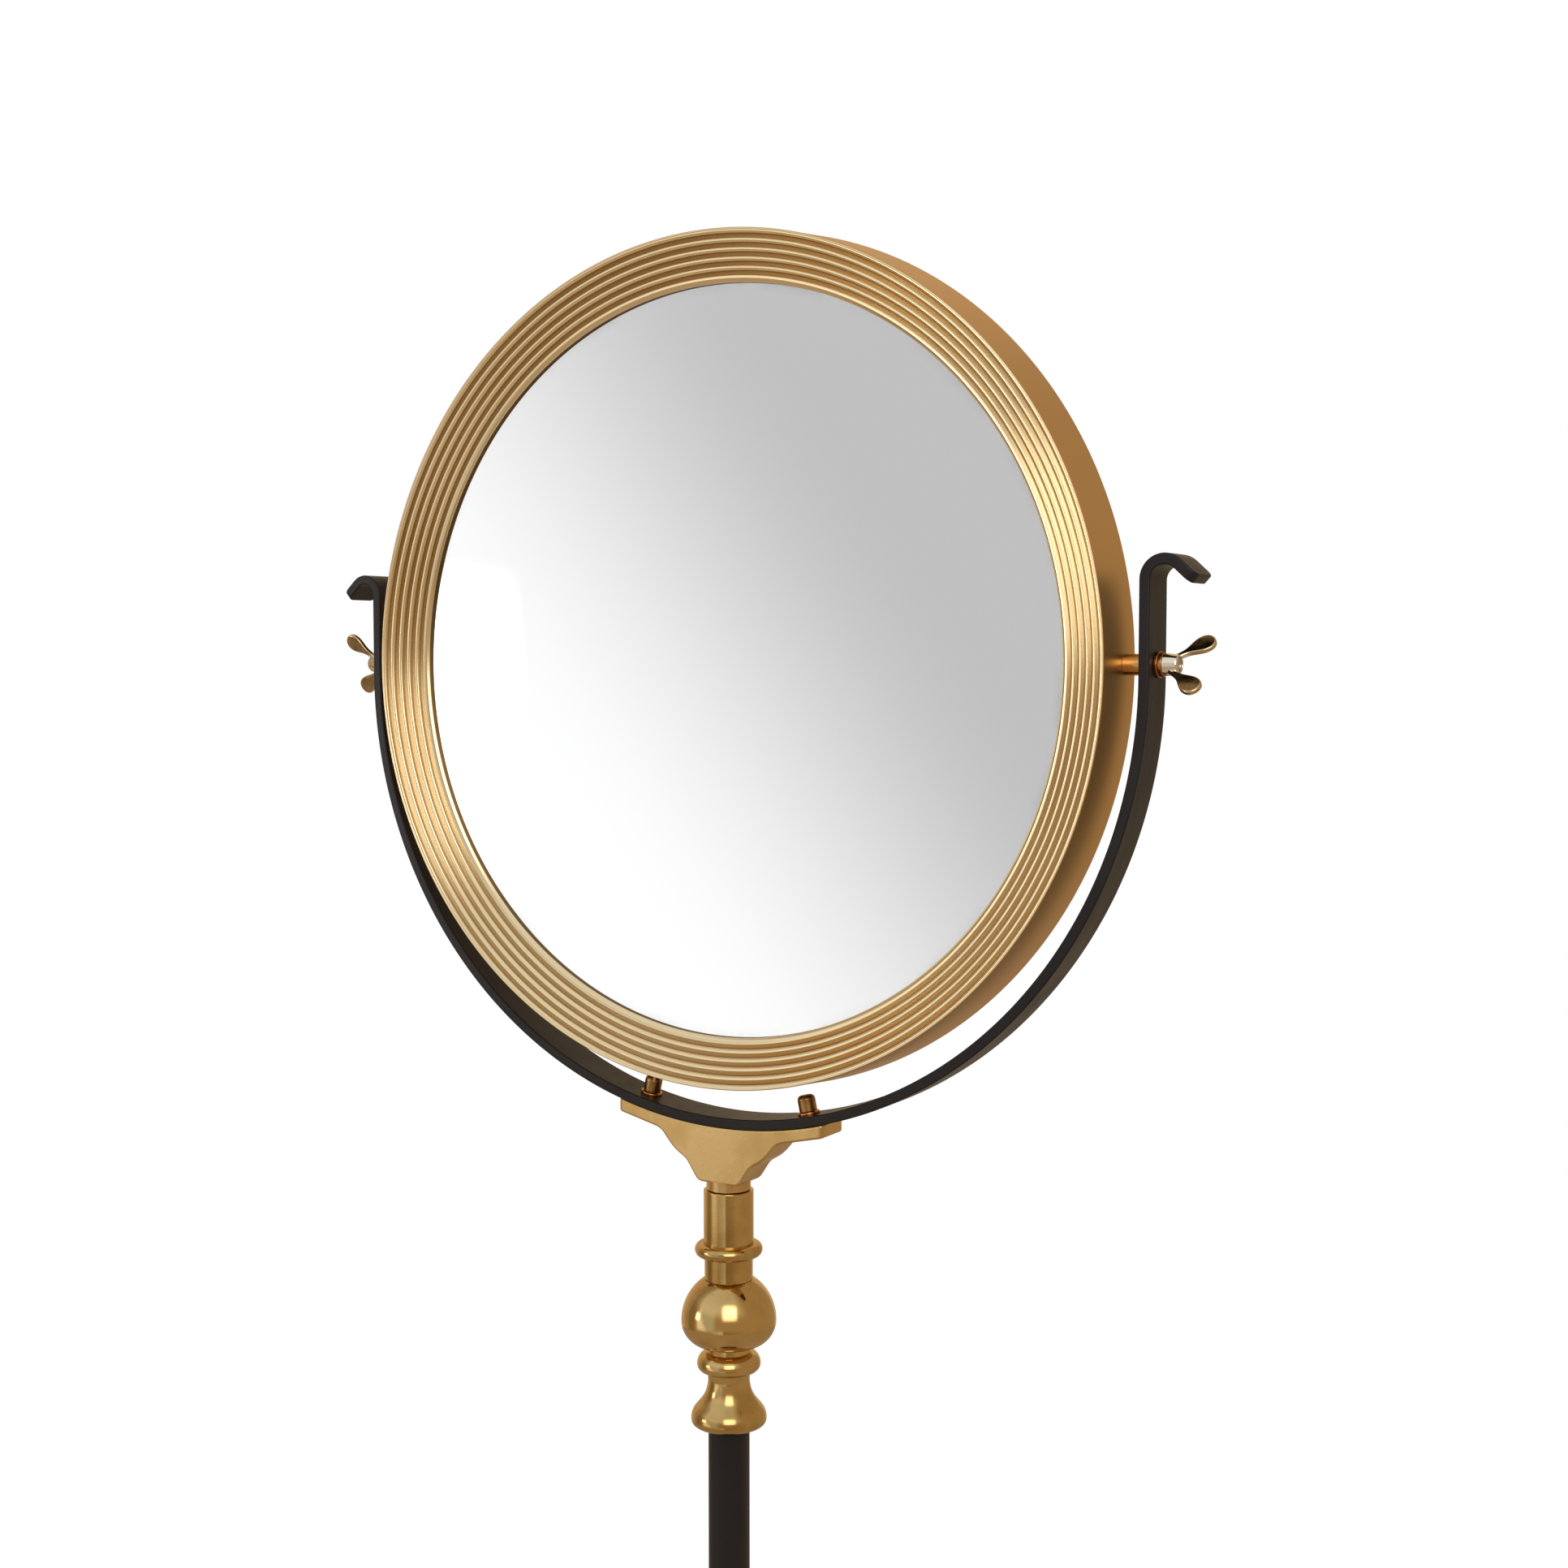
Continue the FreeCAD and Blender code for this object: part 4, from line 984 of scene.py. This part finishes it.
def felt_disc():
    """Felt under the foot, its cut edge slightly rounded."""
    pen = Pen("felt_disc", post_section, (0, 0))
    pen.to((90, 0), (FELT_R - 1, 0))
    pen.arc((FELT_R - 0.3, 0.3), (FELT_R, 1.0), 4)
    pen.to((FELT_R, FELT_T - 0.6))
    pen.arc((FELT_R - 0.17, FELT_T - 0.17), (FELT_R - 0.6, FELT_T), 3)
    pen.to((90, FELT_T), (0, FELT_T))
    return pen.turned(POST_AXIS, 160, closed=False)


def fit(piece, finish, slot, body, *nodes):
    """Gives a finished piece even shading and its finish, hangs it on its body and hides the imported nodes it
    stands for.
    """
    apply(piece, "WEIGHTED_NORMAL", keep_sharp=True)
    piece.data.materials.clear()
    piece.data.materials.append(finish)
    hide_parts(*nodes)
    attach(piece, body)


ring_brass = satin_brass()
column_brass = turned_brass()
bracket_brass = cast_brass()
nut_brass = wing_brass()
spacer_brass = aged_brass("spacer_brass", tone(220, 178, 116), tone(176, 128, 74), 0.35, 0.13)
copper_brass = aged_brass("copper_brass", tone(204, 142, 82), tone(128, 82, 44), 0.7, 0.1)
dark_brass = aged_brass("dark_brass", tone(176, 136, 84), tone(70, 50, 32), 1.0, 0.2)
paint = black_paint()
iron = black_iron()
silver = silvered_glass()
board = fibre_board()
steel = bare_steel()
wool = felt()

fit(reeded_ring(), ring_brass, "satin_brass", "mirror", "mirror_frame")
glass_disc = disc("silvered_disc", GLASS_R, GLASS_Y, BOARD_Y, 0.5)
fit(glass_disc, silver, "silvered_glass", "mirror", "mirror_glass")
fit(disc("back_board", GLASS_R, BOARD_Y, CLIP_Y, 0.4), board, "board", "mirror", "backing_board")
fit(back_clip_set(), steel, "steel", "mirror", "back_clips")
fit(back_screw_set(), steel, "steel", "mirror", "clip_screws")

spacer_right = washer("spacer_right", SPACER_R, SPACER_X, SPACER_OUT_X)
flat_right = washer("washer_right", FLAT_WASHER_R, WASHER_X, LOCK_X)
split_right = spring_washer("spring_washer_right")
bolt_right = hex_bolt("bolt_right")
nut_mould = wing_nut("butterfly_nut_mould", WING_TURN_LEFT)
for right, left, finish, slot, body, node in (
        (spacer_right, "spacer_left", spacer_brass, "aged_brass", "mirror", "pivot_spacer"),
        (flat_right, "washer_left", copper_brass, "aged_brass", "washers", "flat_washer"),
        (split_right, "spring_washer_left", copper_brass, "aged_brass", "washers", "lock_washer"),
        (bolt_right, "bolt_left", steel, "steel", "mirror", "pivot_bolt")):
    copy = other_side(right, left)
    for piece, side in ((right, "right"), (copy, "left")):
        fit(piece, finish, slot, body if body == "mirror" else body + "_" + side, node + "_" + side)
fit(other_side(nut_mould, "butterfly_nut_left"), nut_brass, "aged_brass", "wing_left", "wing_nut_left")
bpy.data.objects.remove(nut_mould)
fit(wing_nut("butterfly_nut_right", WING_TURN_RIGHT), nut_brass, "aged_brass", "wing_right", "wing_nut_right")

fit(flat_bar_yoke(), paint, "black_paint", "yoke", "yoke_bar")
fit(saddle(), bracket_brass, "polished_brass", "yoke", "saddle_bracket")
fit(pair(yoke_screw, "slotted_screws"), dark_brass, "aged_brass", "yoke", "yoke_screws")
fit(pair(screw_collar, "screw_collars"), copper_brass, "aged_brass", "yoke", "screw_washers")

fit(sleeve(), column_brass, "polished_brass", "stand", "column_sleeve")
fit(ball(), column_brass, "polished_brass", "stand", "ball_knop")
fit(bell(), column_brass, "polished_brass", "stand", "bell_ferrule")
fit(post(), paint, "black_paint", "stand", "post_tube")
fit(collar(), column_brass, "polished_brass", "stand", "foot_collar")
fit(foot(), iron, "black_iron", "stand", "base_weight")
fit(felt_disc(), wool, "felt", "stand", "felt_pad")

for node, finish in (("swivel_bush", column_brass), ("tie_rod", steel), ("tie_washer", steel),
                     ("tie_nut", steel)):
    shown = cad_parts[node].data.materials
    shown.clear()
    shown.append(finish)


# Studio

def floor():
    """Pale floor that keeps the shadow near the stand, runs out to white and stays dim in the metal."""
    bpy.ops.object.select_all(action="DESELECT")
    bpy.ops.mesh.primitive_circle_add(vertices=128, radius=2.6, fill_type="NGON", location=(0, 0, -0.0005))
    sheet = bpy.context.object
    sheet.name = "studio_floor"
    f = Finish("studio_floor")
    at = f.place()
    x, y = f.spread(at)[:2]
    r = (x * x + y * y) ** 0.5
    mottle = f.grain(at, 30.0, 3.0)
    near = f.node("ShaderNodeBsdfPrincipled", None, {
        "Base Color": f.blend(mottle, tone(232, 232, 232), tone(236, 236, 236)), "Roughness": 0.6})
    dim = f.node("ShaderNodeEmission", None, {"Color": (1.0, 0.68, 0.38, 1.0), "Strength": 0.34})
    far = f.node("ShaderNodeEmission", None, {"Color": (1, 1, 1, 1), "Strength": 1.0})
    ray = f.node("ShaderNodeLightPath", outlet="Is Camera Ray")
    metal = ray.beside("Is Glossy Ray") * (1 - ray.beside("Is Singular Ray"))
    dimmed = f.node("ShaderNodeMixShader", None, {0: metal * 0.85, 1: near, 2: dim})
    mixed = f.node("ShaderNodeMixShader", None, {0: r.step(0.7, 1.7) * ray, 1: dimmed, 2: far})
    sheet.data.materials.append(f.end(mixed))


def sky():
    """White all round to the eye. Metal and glass see a room with a lit wall on the left and a pale ceiling."""
    world = bpy.data.worlds.new("studio")
    bpy.context.scene.world = world
    f = Finish("studio", world)
    x, y, z = f.spread(f.node("ShaderNodeTexCoord", outlet="Generated"))

    # Directions in degrees: from the front round to the right, and up from the horizon
    around = x.math("ARCTAN2", x, 0 - y) * math.degrees(1)
    up = z.math("ARCSINE", z) * math.degrees(1)

    # The wall grows darker towards the upper right, and a narrow strip of it is lit further round near the floor
    lit = around.between(-54.0, -45.0, -10.0, 6.0) * up.between(-19.5, -10.8, 20.0, 38.0)
    wall = (0.61 - (around * 0.0693 + up * 0.0455 + 2.80).step(0.0, 1.0) * 0.49) * lit
    ceiling = up.step(8.0, 32.0) * around.between(-90.0, -50.0, 50.0, 90.0)
    low = 1 - up.step(-15.0, -10.0)
    strip = around.between(-12.0, 0.0, 17.0, 20.0) * low
    dark_left = around.between(-86.0, -76.0, -64.0, -52.0)
    dark_gap = around.between(17.0, 20.0, 30.0, 75.0) * low
    far_left = 1 - around.step(-110.0, -84.0)
    room = 0.43 + far_left * 0.22 + wall + ceiling * 0.28 + strip * (0.1 + around.step(4.0, 9.0) * 0.13)
    room = room - dark_left * 0.16 - dark_gap * 0.12

    # Only sharp mirroring, which is the glass's, sees the rest of the room paler and without the warm tint
    ray = f.node("ShaderNodeLightPath", outlet="Is Camera Ray")
    sharp = ray.beside("Is Singular Ray")
    room = room + sharp * (1 - lit) * (0.08 + up.step(-30.0, 45.0) * 0.34)
    glossy = ray.math("MAXIMUM", ray.beside("Is Glossy Ray"), ray.beside("Is Transmission Ray"))
    level = f.node("ShaderNodeMix", None, {0: glossy, 2: 0.85, 3: room})
    level = f.node("ShaderNodeMix", None, {0: ray, 2: level, 3: 1.0})
    plain = lit.math("MAXIMUM", lit.math("MAXIMUM", lit, ceiling), strip * 0.7)
    warm = (1 - plain) * (glossy - ray) * (1 - sharp)
    colour = f.blend(warm, (1.0, 1.0, 1.0, 1.0), (1.0, 0.74, 0.46, 1.0))
    light = f.node("ShaderNodeBackground", None, {"Color": colour, "Strength": level})
    f.end(light, "ShaderNodeOutputWorld")


def soft_box(name, place, aim, width, height, watts):
    """Flat studio lamp that fades towards its edges, aimed at a point."""
    lamp = bpy.data.lights.new(name, "AREA")
    lamp.shape = "RECTANGLE"
    lamp.size = width
    lamp.size_y = height
    lamp.energy = watts
    f = Finish(name, lamp)
    u, v = f.spread(f.node("ShaderNodeNewGeometry", outlet="Parametric"))[:2]
    glow = (u * (1 - u) * 4).step(0.0, 0.9) * (v * (1 - v) * 4).step(0.0, 0.9)
    f.end(f.node("ShaderNodeEmission", None, {"Strength": glow}), "ShaderNodeOutputLight")
    holder = bpy.data.objects.new(name, lamp)
    bpy.context.scene.collection.objects.link(holder)
    holder.location = place
    holder.rotation_euler = (Vector(aim) - Vector(place)).to_track_quat("-Z", "Y").to_euler()


def camera():
    """Camera at the photograph's viewing angle."""
    lens = bpy.data.cameras.new("camera")
    lens.lens = 47.32
    lens.sensor_width = 36.0
    holder = bpy.data.objects.new("camera", lens)
    bpy.context.scene.collection.objects.link(holder)
    holder.location = (0.6702, -1.0277, 1.4024)
    holder.rotation_euler = (math.radians(86.56), 0, math.radians(31.55))
    bpy.context.scene.camera = holder


floor()
sky()
soft_box("front_box", (1.08, -1.54, 2.05), (0, 0, 1.25), 1.7, 1.65, 19)
soft_box("left_box", (-1.66, -1.44, 1.27), (0, 0, 1.3), 0.6, 0.6, 3.8)
camera()
bpy.context.scene.view_settings.view_transform = "Standard"
